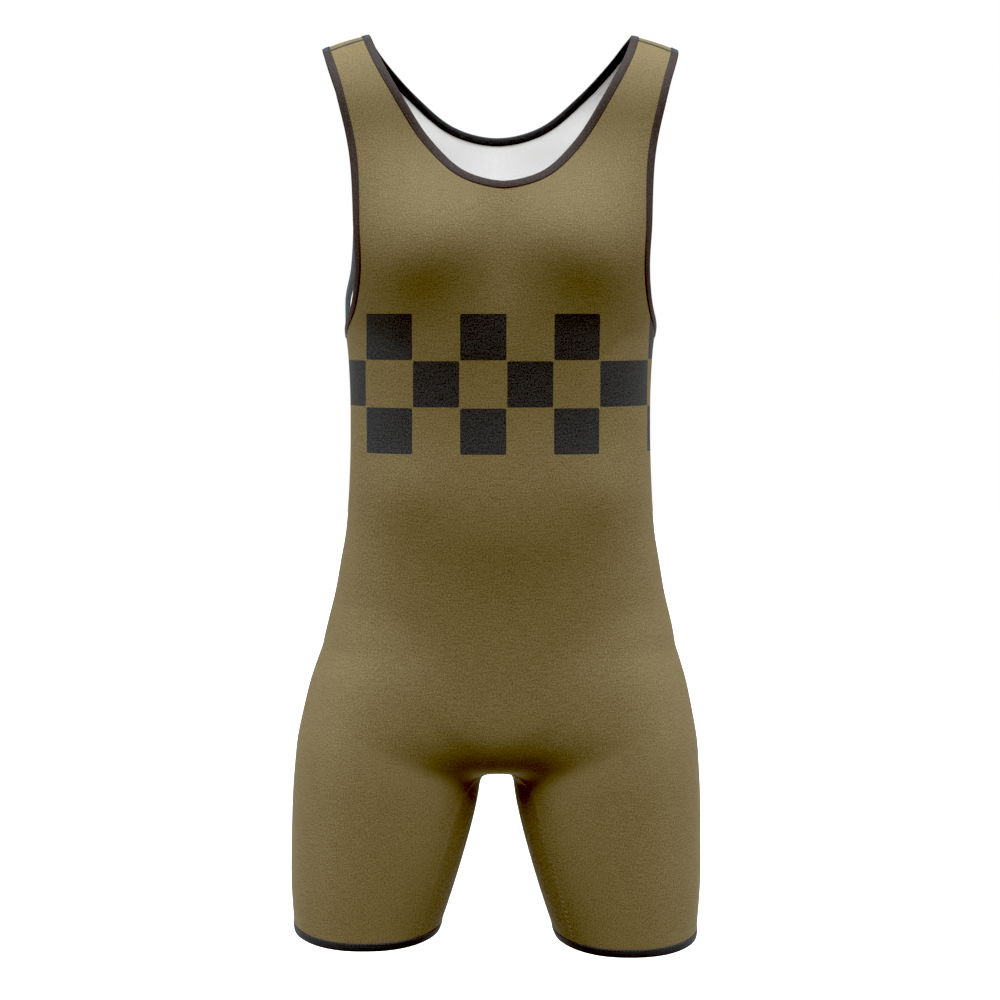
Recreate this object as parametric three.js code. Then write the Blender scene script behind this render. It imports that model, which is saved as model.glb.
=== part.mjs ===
// A wrestling singlet in its worn, filled-out form with nobody in it.
// Millimetres. X runs across (the wearer's left is +X), Y from front to back, Z up.
// Zero is midway between the tops of the two shoulder straps, where a wearer holds it up.

import * as THREE from 'three';

// Cloth and seams
const CLOTH_WALL = 1.4;
const BINDING_WALL = 2.2;
const BINDING_PROUD = 0.4;
const BINDING_CROWN = 0.4;
const BINDING_WIDTH = 7.6;
const HEM_BAND_HEIGHT = 7.8;
const SEAM_GAP = 0.3;
const HALF_GAP = SEAM_GAP / 2;

// Length of each leg, measured to the top of its hem band
const HEM_TOP = { left: -810, right: -802.5 };
const HEM_DIP = 6;
const HEM_DIP_REACH = 80;

// The legs stand a little to the wearer's right of the shoulders
const LEAN = 3.8;
const LEAN_START = -530;
const LEAN_LENGTH = 290;

// Grid of a half panel: steps across, and steps down each stretch of its inner and outer edge
const ACROSS = 11;
const NECK_STEPS = 9;
const CENTRE_STEPS = 20;
const INSEAM_STEPS = 17;
const ARMHOLE_STEPS = 14;
const ROWS = NECK_STEPS + CENTRE_STEPS + INSEAM_STEPS;
const SIDE_STEPS = ROWS - ARMHOLE_STEPS;
const GUSSET_ACROSS = 6;
const GUSSET_HEM_START = 20;

// Steps along the fine lines that the seams are laid out on
const FINE = 400;
const SEAM_FINE = 100;

// General figure that fills the garment: torso sections from the shoulders to the hips
const TORSO = [
  { z: -20, half: 216, front: 80, back: 82 },
  { z: -50, half: 213, front: 81, back: 84 },
  { z: -86, half: 204, front: 83.6, back: 88 },
  { z: -140, half: 178, front: 96.8, back: 100 },
  { z: -190, half: 159, front: 105.8, back: 104 },
  { z: -235, half: 146, front: 108.8, back: 100 },
  { z: -271, half: 138.8, front: 106.8, back: 95 },
  { z: -305, half: 136.2, front: 103.5, back: 90 },
  { z: -340, half: 135.4, front: 101.2, back: 86 },
  { z: -400, half: 136, front: 99, back: 84 },
  { z: -445, half: 139.9, front: 97.2, back: 90 },
  { z: -473, half: 144.9, front: 95, back: 95 },
  { z: -510, half: 151, front: 92.9, back: 102 },
  { z: -560, half: 156.3, front: 90.2, back: 107 },
  { z: -600, half: 158, front: 88.7, back: 108 },
  { z: -640, half: 158, front: 88.5, back: 108 },
];
const TORSO_SQUARENESS = 2.5;

// The torso closes upward over the shoulders and downward between the legs
const SHOULDER = { plane: -86, rise: 97, power: 2.4 };
const PELVIS = { plane: -556, drop: 107.5, front: 5, back: 2.6 };

// Leg sections: centre and half sizes across and from front to back
const LEG = [
  { z: -550, middle: 86, half: 71.5, depth: 89, setBack: 13 },
  { z: -590, middle: 92.3, half: 80.3, depth: 92, setBack: 11 },
  { z: -630, middle: 98, half: 84.2, depth: 91.7, setBack: 7.5 },
  { z: -665, middle: 100.6, half: 85, depth: 90.5, setBack: 5.1 },
  { z: -692, middle: 102.8, half: 84.2, depth: 88.8, setBack: 3.9 },
  { z: -725, middle: 106.8, half: 80.8, depth: 86.5, setBack: 2.7 },
  { z: -769, middle: 113.1, half: 74.5, depth: 83.2, setBack: 1.4 },
  { z: -807, middle: 118, half: 67, depth: 80.3, setBack: 0.7 },
  { z: -840, middle: 122.2, half: 60.3, depth: 77.6, setBack: 0.2 },
];
const LEG_SQUARENESS = 2.3;
const LEG_CROWN = { plane: -595, rise: 95, power: 2.6 };

// How softly the torso runs into the legs, at the hips and at the crotch
const BLEND = { hip: 27, crotch: 16, start: -612, length: 56 };
const MIDDLE_SOFTNESS = 6;

// Soft forms of the figure: how far each stands out (or in) and how wide and tall it is
const FORMS = [
  { face: -1, x: 63.5, z: -174, wide: 70, tall: 48.5, out: 15 },
  { face: -1, x: 83, z: -207, wide: 37, tall: 33, out: 3.4 },
  { face: -1, x: 0, z: -180, wide: 16, tall: 60, out: -2 },
  { face: -1, x: 0, z: -416, wide: 94, tall: 50, out: 3.5 },
  { face: -1, x: 90, z: -405, wide: 34, tall: 32, out: 3.3 },
  { face: -1, x: 0, z: -471, wide: 55, tall: 34, out: 1.1 },
  { face: -1, x: 0, z: -503, wide: 44, tall: 45, out: -0.6 },
  { face: 1, x: 68, z: -130, wide: 48, tall: 52, out: 5 },
  { face: 1, x: 0, z: -270, wide: 22, tall: 130, out: -4 },
  { face: 1, x: 66, z: -575, wide: 60, tall: 62, out: 5 },
];
const FACE_CHANGE = 70;

// Moving a point onto the figure: rounds, longest step, when it is near enough, and a small
// distance to measure the slope over
const SETTLING = { rounds: 30, longestStep: 12, near: 1e-5, probe: 0.05 };

// Edge of the neck opening, from the centre front over the shoulder to the centre back
const NECK_EDGE = [
  { x: 0, y: -98, z: -132.4 },
  { x: 32.8, y: -95.5, z: -125 },
  { x: 63.5, y: -85, z: -96 },
  { x: 92.4, y: -76, z: -50 },
  { x: 109.5, y: -60, z: -17 },
  { x: 116.4, y: -20, z: -2 },
  { x: 116, y: 25, z: -2 },
  { x: 104.6, y: 63, z: -13 },
  { x: 77, y: 81, z: -45 },
  { x: 40, y: 87.3, z: -75.5 },
  { x: 0, y: 88, z: -85.3 },
];

// Edge of an armhole, from the shoulder down the front, under the arm and up the back
const ARMHOLE_EDGE = [
  { x: 158, y: -12, z: -17 },
  { x: 151, y: -57, z: -40 },
  { x: 143, y: -67, z: -70 },
  { x: 134.7, y: -74.5, z: -114 },
  { x: 130.5, y: -79, z: -165 },
  { x: 127.3, y: -75, z: -205 },
  { x: 132.5, y: -58, z: -240 },
  { x: 138.5, y: -30, z: -258 },
  { x: 140.5, y: -6, z: -264 },
  { x: 141, y: 14, z: -258 },
  { x: 140, y: 36, z: -234 },
  { x: 134.8, y: 58, z: -207 },
  { x: 133.5, y: 72, z: -170 },
  { x: 136, y: 79, z: -120 },
  { x: 144, y: 73, z: -68 },
  { x: 152, y: 55, z: -38 },
  { x: 158, y: 15, z: -17 },
];

// The shoulder seam lies a little forward of the top of the strap; the parts of the neck's and
// the armhole's edge to look for it in, as shares of their length
const SHOULDER_SEAM_Y = -32;
const SHOULDER_PART = { neck: [0.3, 0.75], armhole: [0, 0.1] };

// Inner-leg seam of the front, from the centre of the crotch to the hem
const INSEAM_FRONT = [
  { x: 0, y: -38, z: -663 },
  { x: 18, y: -39, z: -667 },
  { x: 24, y: -42, z: -670 },
  { x: 31, y: -50, z: -678 },
  { x: 35, y: -54.5, z: -690 },
  { x: 39.5, y: -56.5, z: -706 },
  { x: 43, y: -57.5, z: -720 },
  { x: 48, y: -58.5, z: -736 },
  { x: 55.5, y: -60, z: -759 },
  { x: 63, y: -60, z: -781 },
  { x: 71, y: -60, z: -810 },
];
const INSEAM_SWING = { left: -6, right: 6 };
const INSEAM_SWING_LENGTH = 56;

// Half the depth of a leg at its hem, from its side to where the hem line is lowest
const HEM_REACH = 60;

// Last part of the centre line, that turns inward between the legs, as shares of its height
const CENTRE_TURN = 0.9;
const CENTRE_LEVEL = 0.85;

// How fast the end rows of a patch give way to its sides
const PATCH_FADE = 6;

// Where the side seam runs, from the underarm to the hem
const SIDE_SEAM = [
  { z: -264, y: -6 },
  { z: -420, y: 0 },
  { z: -600, y: 6 },
  { z: -840, y: -1 },
];

const COLOUR = {
  cloth: { color: 0x75683f, roughness: 0.62, metalness: 0 },
  binding: { color: 0x2c282b, roughness: 0.6, metalness: 0 },
};

const SIDES = { left: 1, right: -1 };
const FACES = { front: -1, back: 1 };

// Smooth curve through one column of a table whose z falls from row to row, flat past its ends
function smoothColumn(rows, key) {
  const tangents = rows.map((row, i) => {
    const above = rows[Math.max(i - 1, 0)];
    const below = rows[Math.min(i + 1, rows.length - 1)];
    return (below[key] - above[key]) / (below.z - above.z);
  });
  return (z) => {
    const held = Math.min(rows[0].z, Math.max(rows[rows.length - 1].z, z));
    let i = 0;
    while (i < rows.length - 2 && rows[i + 1].z > held) {
      i += 1;
    }
    const step = rows[i + 1].z - rows[i].z;
    const t = (held - rows[i].z) / step;
    const start = (1 + 2 * t) * (1 - t) ** 2 * rows[i][key] + t * (1 - t) ** 2 * step * tangents[i];
    const end = t * t * (3 - 2 * t) * rows[i + 1][key] + t * t * (t - 1) * step * tangents[i + 1];
    return start + end;
  };
}

const torsoHalf = smoothColumn(TORSO, 'half');
const torsoFront = smoothColumn(TORSO, 'front');
const torsoBack = smoothColumn(TORSO, 'back');
const legMiddle = smoothColumn(LEG, 'middle');
const legHalf = smoothColumn(LEG, 'half');
const legDepth = smoothColumn(LEG, 'depth');
const legSetBack = smoothColumn(LEG, 'setBack');
const sideSeamY = smoothColumn(SIDE_SEAM, 'y');

function smoothStep(t) {
  const held = Math.min(1, Math.max(0, t));
  return held * held * (3 - 2 * held);
}

// Distance, along a ray from its middle, from a point to a rounded body of the given half sizes
function roundedBody(x, y, h, half, depth, rise, squareness, power) {
  const ring = (Math.abs(x / half) ** squareness + Math.abs(y / depth) ** squareness) ** (power / squareness);
  const reach = (ring + Math.abs(h / rise) ** power) ** (1 / power);
  return Math.hypot(x, y, h) * (1 - 1 / Math.max(reach, 1e-6));
}

function torsoDistance(x, y, z) {
  const front = torsoFront(z);
  const back = torsoBack(z);
  const middleY = y - (back - front) / 2;
  const fore = smoothStep(0.5 - y / FACE_CHANGE);
  const pelvisPower = PELVIS.back + (PELVIS.front - PELVIS.back) * fore;
  const cap = z > (SHOULDER.plane + PELVIS.plane) / 2
    ? { h: Math.max(0, z - SHOULDER.plane), rise: SHOULDER.rise, power: SHOULDER.power }
    : { h: Math.max(0, PELVIS.plane - z), rise: PELVIS.drop, power: pelvisPower };
  const depth = (front + back) / 2;
  return roundedBody(x, middleY, cap.h, torsoHalf(z), depth, cap.rise, TORSO_SQUARENESS, cap.power);
}

function legDistance(x, y, z) {
  const outward = Math.hypot(x, MIDDLE_SOFTNESS) - legMiddle(z);
  const h = Math.max(0, z - LEG_CROWN.plane);
  const { rise, power } = LEG_CROWN;
  return roundedBody(outward, y - legSetBack(z), h, legHalf(z), legDepth(z), rise, LEG_SQUARENESS, power);
}

function formRelief(x, y, z) {
  let relief = 0;
  for (const form of FORMS) {
    const facing = smoothStep(0.5 + (form.face * y) / FACE_CHANGE);
    const across = (Math.abs(x) - form.x) / form.wide;
    const along = (z - form.z) / form.tall;
    relief += form.out * facing * Math.exp(-across * across - along * along);
  }
  return relief;
}

// Signed distance, roughly, from a point to the figure: below zero inside it
function figure(p) {
  const torso = torsoDistance(p.x, p.y, p.z);
  const leg = legDistance(p.x, p.y, p.z);
  const low = smoothStep((BLEND.start - p.z) / BLEND.length);
  const reach = BLEND.hip + (BLEND.crotch - BLEND.hip) * low;
  const share = Math.max(reach - Math.abs(torso - leg), 0) / reach;
  return Math.min(torso, leg) - (share * share * reach) / 4 - formRelief(p.x, p.y, p.z);
}

function slopeAt(p) {
  const e = SETTLING.probe;
  const at = (dx, dy, dz) => figure(new THREE.Vector3(p.x + dx, p.y + dy, p.z + dz));
  return new THREE.Vector3(
    (at(e, 0, 0) - at(-e, 0, 0)) / (2 * e),
    (at(0, e, 0) - at(0, -e, 0)) / (2 * e),
    (at(0, 0, e) - at(0, 0, -e)) / (2 * e),
  );
}

const outwardAt = (p) => slopeAt(p).normalize();

// Moves a point onto the figure: straight up its slope, or level where its height must stay
function settle(point, level = false) {
  const p = point.clone();
  for (let round = 0; round < SETTLING.rounds; round += 1) {
    const value = figure(p);
    if (Math.abs(value) < SETTLING.near) {
      break;
    }
    const slope = slopeAt(p);
    if (level) {
      slope.z = 0;
    }
    const wanted = value / slope.length();
    const step = Math.max(-SETTLING.longestStep, Math.min(SETTLING.longestStep, wanted));
    p.addScaledVector(slope.normalize(), -step);
  }
  return p;
}

// The same points, evenly spaced along the line they make
function evenly(points, steps) {
  const lengths = [0];
  for (let i = 1; i < points.length; i += 1) {
    lengths.push(lengths[i - 1] + points[i].distanceTo(points[i - 1]));
  }
  const total = lengths[lengths.length - 1];
  return Array.from({ length: steps + 1 }, (_, k) => {
    const wanted = (total * k) / steps;
    let i = 1;
    while (i < points.length - 1 && lengths[i] < wanted) {
      i += 1;
    }
    const t = (wanted - lengths[i - 1]) / (lengths[i] - lengths[i - 1]);
    return points[i - 1].clone().lerp(points[i], t);
  });
}

// Fine line on the figure through the rows of an edge table
function edgeLine(rows, closed = false) {
  const corners = rows.map((row) => settle(new THREE.Vector3(row.x, row.y, row.z)));
  const curve = new THREE.CatmullRomCurve3(corners, closed, 'centripetal');
  return curve.getPoints(FINE).map((p) => settle(p));
}

// Part of a line between two places on it, as evenly spaced points
function stretch(line, from, to, steps) {
  const piece = line.slice(Math.min(from, to), Math.max(from, to) + 1);
  if (from > to) {
    piece.reverse();
  }
  return evenly(piece, steps).map((p) => settle(p));
}

// A line's points moved over the figure, to the right of the way it runs as seen from outside
function movedSideways(points, distance) {
  const last = points.length - 1;
  return points.map((p, i) => {
    const before = points[Math.max(i - 1, 0)];
    const after = points[Math.min(i + 1, last)];
    const along = after.clone().sub(before);
    const sideways = along.cross(outwardAt(p)).normalize();
    return settle(p.clone().addScaledVector(sideways, distance));
  });
}

// Where a line crosses the shoulder seam, within a part of it given as shares of its length
function shoulderPlace(line, [from, to]) {
  const offSeam = (i) => Math.abs(line[i].y - SHOULDER_SEAM_Y);
  const end = Math.round(line.length * to);
  let best = Math.round(line.length * from);
  for (let i = best; i <= end; i += 1) {
    best = offSeam(i) < offSeam(best) ? i : best;
  }
  return best;
}

function lowestPlace(line) {
  return line.reduce((best, p, i) => (p.z < line[best].z ? i : best), 0);
}

// Patch between four edges that share corners, laid onto the figure with even steps across
function patch(top, bottom, inner, outer) {
  const rows = inner.length - 1;
  const across = top.length - 1;
  const ruled = (u, v) => inner[v].clone().lerp(outer[v], u / across);
  const grid = [];
  for (let v = 0; v <= rows; v += 1) {
    const t = v / rows;
    const topShare = (1 - t) ** PATCH_FADE;
    const bottomShare = t ** PATCH_FADE;
    const row = [];
    for (let u = 0; u <= across; u += 1) {
      const p = ruled(u, v);
      p.addScaledVector(top[u].clone().sub(ruled(u, 0)), topShare);
      p.addScaledVector(bottom[u].clone().sub(ruled(u, rows)), bottomShare);
      row.push(v === rows ? bottom[u].clone() : settle(p));
    }
    grid.push(row);
  }
  for (let v = 1; v < rows; v += 1) {
    const relaxed = evenly(grid[v], across).map((p) => settle(p));
    relaxed[0] = grid[v][0];
    relaxed[across] = grid[v][across];
    grid[v] = relaxed;
  }
  return grid;
}

// Lean of the legs, applied last to every point
function posed(p) {
  const t = Math.min(1, Math.max(0, (LEAN_START - p.z) / LEAN_LENGTH));
  return new THREE.Vector3(p.x - LEAN * t * (2 - t), p.y, p.z);
}

const mirrored = (p, side) => new THREE.Vector3(p.x * side, p.y, p.z);

// Collects triangles and keeps their faces outward on a mirrored side
class Shell {
  constructor() {
    this.corners = [];
  }

  triangle(a, b, c) {
    for (const p of [a, b, c]) {
      const q = posed(p);
      this.corners.push(q.x, q.y, q.z);
    }
  }

  quad(a, b, c, d, flipped) {
    if (flipped) {
      this.triangle(a, c, b);
      this.triangle(a, d, c);
    } else {
      this.triangle(a, b, c);
      this.triangle(a, c, d);
    }
  }

  // One step of a rim, cut along the same diagonal as the rim on the far side of its seam
  rim(outerHere, innerHere, innerNext, outerNext, flipped) {
    if (outerHere.z < outerNext.z) {
      this.quad(outerHere, innerHere, innerNext, outerNext, flipped);
    } else {
      this.quad(innerHere, innerNext, outerNext, outerHere, flipped);
    }
  }

  geometry() {
    const geometry = new THREE.BufferGeometry();
    geometry.setAttribute('position', new THREE.Float32BufferAttribute(this.corners, 3));
    geometry.computeVertexNormals();
    return geometry;
  }
}

// Adds a wall under a grid of points; joined rows of its inner edge have no rim
function addWall(shell, grid, side, flipped, joined = () => false) {
  const rows = grid.length - 1;
  const across = grid[0].length - 1;
  const outer = grid.map((row) => row.map((p) => mirrored(p, side)));
  const inner = grid.map((row) => row.map((p) => (
    mirrored(p.clone().addScaledVector(outwardAt(p), -CLOTH_WALL), side)
  )));
  const turned = flipped !== (side < 0);
  for (let v = 0; v < rows; v += 1) {
    for (let u = 0; u < across; u += 1) {
      shell.quad(outer[v][u], outer[v + 1][u], outer[v + 1][u + 1], outer[v][u + 1], turned);
      shell.quad(inner[v][u], inner[v][u + 1], inner[v + 1][u + 1], inner[v + 1][u], turned);
    }
    const rimAt = (u, flip) => shell.rim(outer[v][u], inner[v][u], inner[v + 1][u], outer[v + 1][u], flip);
    if (!joined(v)) {
      rimAt(0, turned);
    }
    rimAt(across, !turned);
  }
  for (let u = 0; u < across; u += 1) {
    shell.quad(outer[0][u], outer[0][u + 1], inner[0][u + 1], inner[0][u], turned);
    shell.quad(outer[rows][u], inner[rows][u], inner[rows][u + 1], outer[rows][u + 1], turned);
  }
}

// Skin through a row of closed sections, with a cap at each end unless the row closes on itself
function addTube(shell, sections, closed, flipped) {
  const count = sections.length;
  const around = sections[0].length;
  const spans = closed ? count : count - 1;
  for (let s = 0; s < spans; s += 1) {
    const here = sections[s];
    const next = sections[(s + 1) % count];
    for (let k = 0; k < around; k += 1) {
      const m = (k + 1) % around;
      shell.quad(here[k], here[m], next[m], next[k], flipped);
    }
  }
  if (!closed) {
    addCap(shell, sections[0], !flipped);
    addCap(shell, sections[count - 1], flipped);
  }
}

function addCap(shell, section, flipped) {
  for (let k = 1; k < section.length - 1; k += 1) {
    if (flipped) {
      shell.triangle(section[0], section[k + 1], section[k]);
    } else {
      shell.triangle(section[0], section[k], section[k + 1]);
    }
  }
}

// Section of a folded binding between the opening's edge and its seam, all on the figure
function bindingSection(edge, seam) {
  const middle = settle(edge.clone().lerp(seam, 0.5));
  const past = edge.clone().sub(seam).setLength(BINDING_CROWN);
  const at = (p, height) => p.clone().addScaledVector(outwardAt(p), height);
  const inside = BINDING_PROUD - BINDING_WALL;
  return [
    at(seam, BINDING_PROUD),
    at(middle, BINDING_PROUD + BINDING_CROWN),
    at(edge, BINDING_PROUD),
    at(edge, (BINDING_PROUD + inside) / 2).add(past),
    at(edge, inside),
    at(middle, inside - BINDING_CROWN),
    at(seam, inside),
  ];
}

// Draws the first point of a line back from a seam by half the seam gap
function drawnBack(points) {
  const drawn = points.slice();
  drawn[0] = points[0].clone().add(points[1].clone().sub(points[0]).setLength(HALF_GAP));
  return drawn;
}

// Draws both ends of a strip back from the shoulder seam
const shortened = (points) => drawnBack(drawnBack(points).reverse()).reverse();

function bindingSections(edge, seam, side) {
  const edges = shortened(edge);
  const seams = shortened(seam);
  return edges.map((p, i) => bindingSection(p, seams[i]).map((q) => mirrored(q, side)));
}

// Seam lines of one half, all on the figure; the lines of the other half mirror them
function layOutNeck() {
  const frontMirror = { ...NECK_EDGE[1], x: -NECK_EDGE[1].x };
  const backMirror = { ...NECK_EDGE.at(-2), x: -NECK_EDGE.at(-2).x };
  const line = edgeLine([frontMirror, ...NECK_EDGE, backMirror]).filter((p) => p.x > -HALF_GAP);
  const last = line.length - 1;
  line[0].x = 0;
  line[last].x = 0;
  const shoulder = shoulderPlace(line, SHOULDER_PART.neck);
  const front = stretch(line, shoulder, 0, NECK_STEPS);
  const back = stretch(line, shoulder, last, NECK_STEPS);
  return { front, back };
}

function layOutArmhole() {
  const line = edgeLine(ARMHOLE_EDGE, true);
  line.pop();
  const shoulder = shoulderPlace(line, SHOULDER_PART.armhole);
  const ordered = [...line.slice(shoulder), ...line.slice(0, shoulder + 1)];
  const under = lowestPlace(ordered);
  const front = stretch(ordered, 0, under, ARMHOLE_STEPS);
  const back = stretch(ordered, ordered.length - 1, under, ARMHOLE_STEPS);
  return { front, back };
}

// A line joined from two halves, moved sideways as one, and parted again
function movedTogether(front, back, distance) {
  const joined = [...front.slice().reverse(), ...back.slice(1)];
  const moved = movedSideways(joined, distance);
  const parted = front.length - 1;
  return { front: moved.slice(0, parted + 1).reverse(), back: moved.slice(parted) };
}

// Sideways over both halves, with the far ends on the plane of symmetry or meeting under the arm
function movedNeck(neck, distance) {
  const moved = movedTogether(neck.front, neck.back, distance);
  for (const half of [moved.front, moved.back]) {
    half[half.length - 1].x = 0;
  }
  return moved;
}

function movedArmhole(armhole, distance) {
  const frontEnd = armhole.front[ARMHOLE_STEPS - 1];
  const backEnd = armhole.back[ARMHOLE_STEPS - 1];
  const moved = movedTogether(armhole.front, armhole.back, distance);
  const under = movedSideways([backEnd, armhole.front[ARMHOLE_STEPS], frontEnd], distance)[1];
  moved.front[ARMHOLE_STEPS] = under;
  moved.back[ARMHOLE_STEPS] = under.clone();
  return moved;
}

function hemHeight(sideName, y) {
  return HEM_TOP[sideName] - HEM_DIP * (Math.min(y, 0) / HEM_DIP_REACH) ** 2;
}

function sidePoint(z) {
  const start = new THREE.Vector3(legMiddle(z) + legHalf(z), sideSeamY(z), z);
  return settle(start, true);
}

function layOutSideSeam(top, sideName) {
  const low = hemHeight(sideName, 0);
  const line = [top];
  for (let i = 1; i <= SEAM_FINE; i += 1) {
    line.push(sidePoint(top.z + ((low - top.z) * i) / SEAM_FINE));
  }
  return evenly(line, SIDE_STEPS).map((p, i) => (i === 0 ? p : sidePoint(p.z)));
}

// Inner-leg seam on one side; the back one mirrors the front one
function layOutInseam(sideName, face) {
  const swing = INSEAM_SWING[sideName];
  const rows = INSEAM_FRONT.map((row) => {
    const along = smoothStep((INSEAM_FRONT[0].z - row.z) / INSEAM_SWING_LENGTH);
    return { x: row.x + swing * along, y: -face * row.y, z: row.z };
  });
  const mirror = { ...rows[1], x: -rows[1].x };
  const edge = edgeLine([mirror, ...rows]);
  const low = hemHeight(sideName, edge.at(-1).y);
  const line = edge.filter((p) => p.x > -HALF_GAP && p.z > low + HALF_GAP);
  line[0].x = 0;
  const end = line[line.length - 1].clone();
  end.z = low;
  line.push(settle(end, true));
  const even = evenly(line, INSEAM_STEPS).map((p, i) => settle(p, i === INSEAM_STEPS));
  even[0].x = 0;
  return even;
}

// Centre line of the front or back, from the neck seam to the crotch seam
function layOutCentre(from, to) {
  const line = [from];
  for (let i = 1; i < SEAM_FINE; i += 1) {
    const t = i / SEAM_FINE;
    const turned = Math.max(0, t - CENTRE_TURN) / (1 - CENTRE_TURN);
    const p = from.clone().lerp(to, t);
    p.y = from.y + (to.y - from.y) * turned;
    line.push(settle(p, t < CENTRE_LEVEL).setX(0));
  }
  line.push(to);
  return evenly(line, CENTRE_STEPS).map((p) => settle(p).setX(0));
}

// Hem line of a panel between two ends, at the height of the hem band's top
function layOutHem(from, to, steps, sideName, bulge) {
  const middle = from.clone().lerp(to, 0.5).add(bulge);
  middle.z = hemHeight(sideName, middle.y);
  const curve = new THREE.QuadraticBezierCurve3(from, middle, to);
  const points = evenly(curve.getPoints(SEAM_FINE), steps);
  const onLeg = (p) => settle(new THREE.Vector3(p.x, p.y, hemHeight(sideName, p.y)), true);
  const first = points.map((p, i) => (i === 0 || i === steps ? p.clone() : onLeg(p)));
  const even = evenly(first, steps);
  return even.map((p, i) => (i === 0 || i === steps ? p : onLeg(p)));
}

// Lifts a hem line off the hem band, with its two ends on the panel's own edges
function liftedHem(hem, from, to) {
  const lift = (p) => settle(new THREE.Vector3(p.x, p.y, p.z + HALF_GAP), true);
  const lifted = hem.map(lift);
  lifted[0] = lift(from);
  lifted[lifted.length - 1] = lift(to);
  return lifted;
}

// One half of the front or back panel
function halfPanel(lines) {
  const neck = drawnBack(lines.neck);
  const armhole = drawnBack(lines.armhole);
  const inner = [...neck, ...lines.centre.slice(1), ...lines.inseam.slice(1)];
  const outer = [...armhole.slice(0, -1), ...lines.sideSeam];
  const bottom = liftedHem(lines.hem, inner[ROWS], outer[ROWS]);
  inner[ROWS] = bottom[0];
  outer[ROWS] = bottom[ACROSS];
  const middle = settle(neck[0].clone().lerp(armhole[0], 0.5));
  const top = evenly([neck[0], middle, armhole[0]], ACROSS).map((p) => settle(p));
  top[0] = neck[0];
  top[ACROSS] = armhole[0];
  return patch(top, bottom, inner, outer);
}

const neckEdge = layOutNeck();
const neckSeam = movedNeck(neckEdge, BINDING_WIDTH - HALF_GAP);
const neckCut = movedNeck(neckEdge, BINDING_WIDTH + HALF_GAP);
const armholeEdge = layOutArmhole();
const armholeSeam = movedArmhole(armholeEdge, HALF_GAP - BINDING_WIDTH);
const armholeCut = movedArmhole(armholeEdge, -HALF_GAP - BINDING_WIDTH);

// Side seam of one side and the inner-leg seams of its front and back
function layOutSide(sideName) {
  const sideSeam = layOutSideSeam(armholeCut.front[ARMHOLE_STEPS], sideName);
  const layout = { sideSeam };
  for (const [faceName, face] of Object.entries(FACES)) {
    const inseam = layOutInseam(sideName, face);
    const bulge = new THREE.Vector3(0, face * HEM_REACH, 0);
    const hem = layOutHem(inseam[INSEAM_STEPS], sideSeam[SIDE_STEPS], ACROSS, sideName, bulge);
    layout[faceName] = { inseam, hem };
  }
  return layout;
}

// Inner-leg seam of a face moved sideways on both legs at once, toward the panel or the gusset
function movedInseams(faceName, distance) {
  const left = layouts.left[faceName].inseam;
  const right = layouts.right[faceName].inseam.map((p) => mirrored(p, -1));
  const moved = movedSideways([...left.slice().reverse(), ...right.slice(1)], distance * FACES[faceName]);
  moved[INSEAM_STEPS].x = 0;
  return {
    left: moved.slice(0, INSEAM_STEPS + 1).reverse(),
    right: moved.slice(INSEAM_STEPS).map((p) => mirrored(p, -1)),
  };
}

const layouts = { left: layOutSide('left'), right: layOutSide('right') };
const panelInseams = {
  front: movedInseams('front', -HALF_GAP),
  back: movedInseams('back', -HALF_GAP),
};
const gussetInseams = {
  front: movedInseams('front', HALF_GAP),
  back: movedInseams('back', HALF_GAP),
};
const centreLines = {
  front: layOutCentre(neckCut.front[NECK_STEPS], panelInseams.front.left[0]),
  back: layOutCentre(neckCut.back[NECK_STEPS], panelInseams.back.left[0]),
};

// Front or back panel: two mirrored halves joined down the centre
function panel(faceName) {
  const shell = new Shell();
  const joined = (v) => v >= NECK_STEPS && v < NECK_STEPS + CENTRE_STEPS;
  for (const [sideName, side] of Object.entries(SIDES)) {
    const layout = layouts[sideName];
    const grid = halfPanel({
      neck: neckCut[faceName],
      armhole: armholeCut[faceName],
      centre: centreLines[faceName],
      inseam: panelInseams[faceName][sideName],
      sideSeam: movedSideways(layout.sideSeam, -HALF_GAP * FACES[faceName]),
      hem: layout[faceName].hem,
    });
    addWall(shell, grid, side, faceName === 'back', joined);
  }
  return shell.geometry();
}

// One row of the gusset, from its front seam to its back seam
function gussetRow(front, back, sideName, atHem) {
  const height = (p) => (atHem ? hemHeight(sideName, p.y) + HALF_GAP : p.z);
  const lay = (p) => settle(new THREE.Vector3(p.x, p.y, height(p)), atHem);
  const laid = Array.from({ length: GUSSET_ACROSS + 1 }, (_, u) => {
    const t = u / GUSSET_ACROSS;
    const p = front.clone().lerp(back, t);
    p.x -= atHem ? GUSSET_HEM_START * Math.sin(Math.PI * t) : 0;
    return lay(p);
  });
  const row = evenly(laid, GUSSET_ACROSS).map(lay);
  row[0] = atHem ? lay(front) : front.clone();
  row[GUSSET_ACROSS] = atHem ? lay(back) : back.clone();
  return row;
}

// Inner-leg gusset: a saddle from hem to hem under the crotch
function layOutGusset() {
  const legRows = (sideName) => gussetInseams.front[sideName].map((p, i) => (
    gussetRow(p, gussetInseams.back[sideName][i], sideName, i === INSEAM_STEPS)
  ));
  const left = legRows('left');
  const right = legRows('right').map((row) => row.map((p) => mirrored(p, -1)));
  return [...left.reverse(), ...right.slice(1)];
}

const gussetRows = layOutGusset();

function gusset() {
  const shell = new Shell();
  addWall(shell, gussetRows, 1, false);
  return shell.geometry();
}

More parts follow.
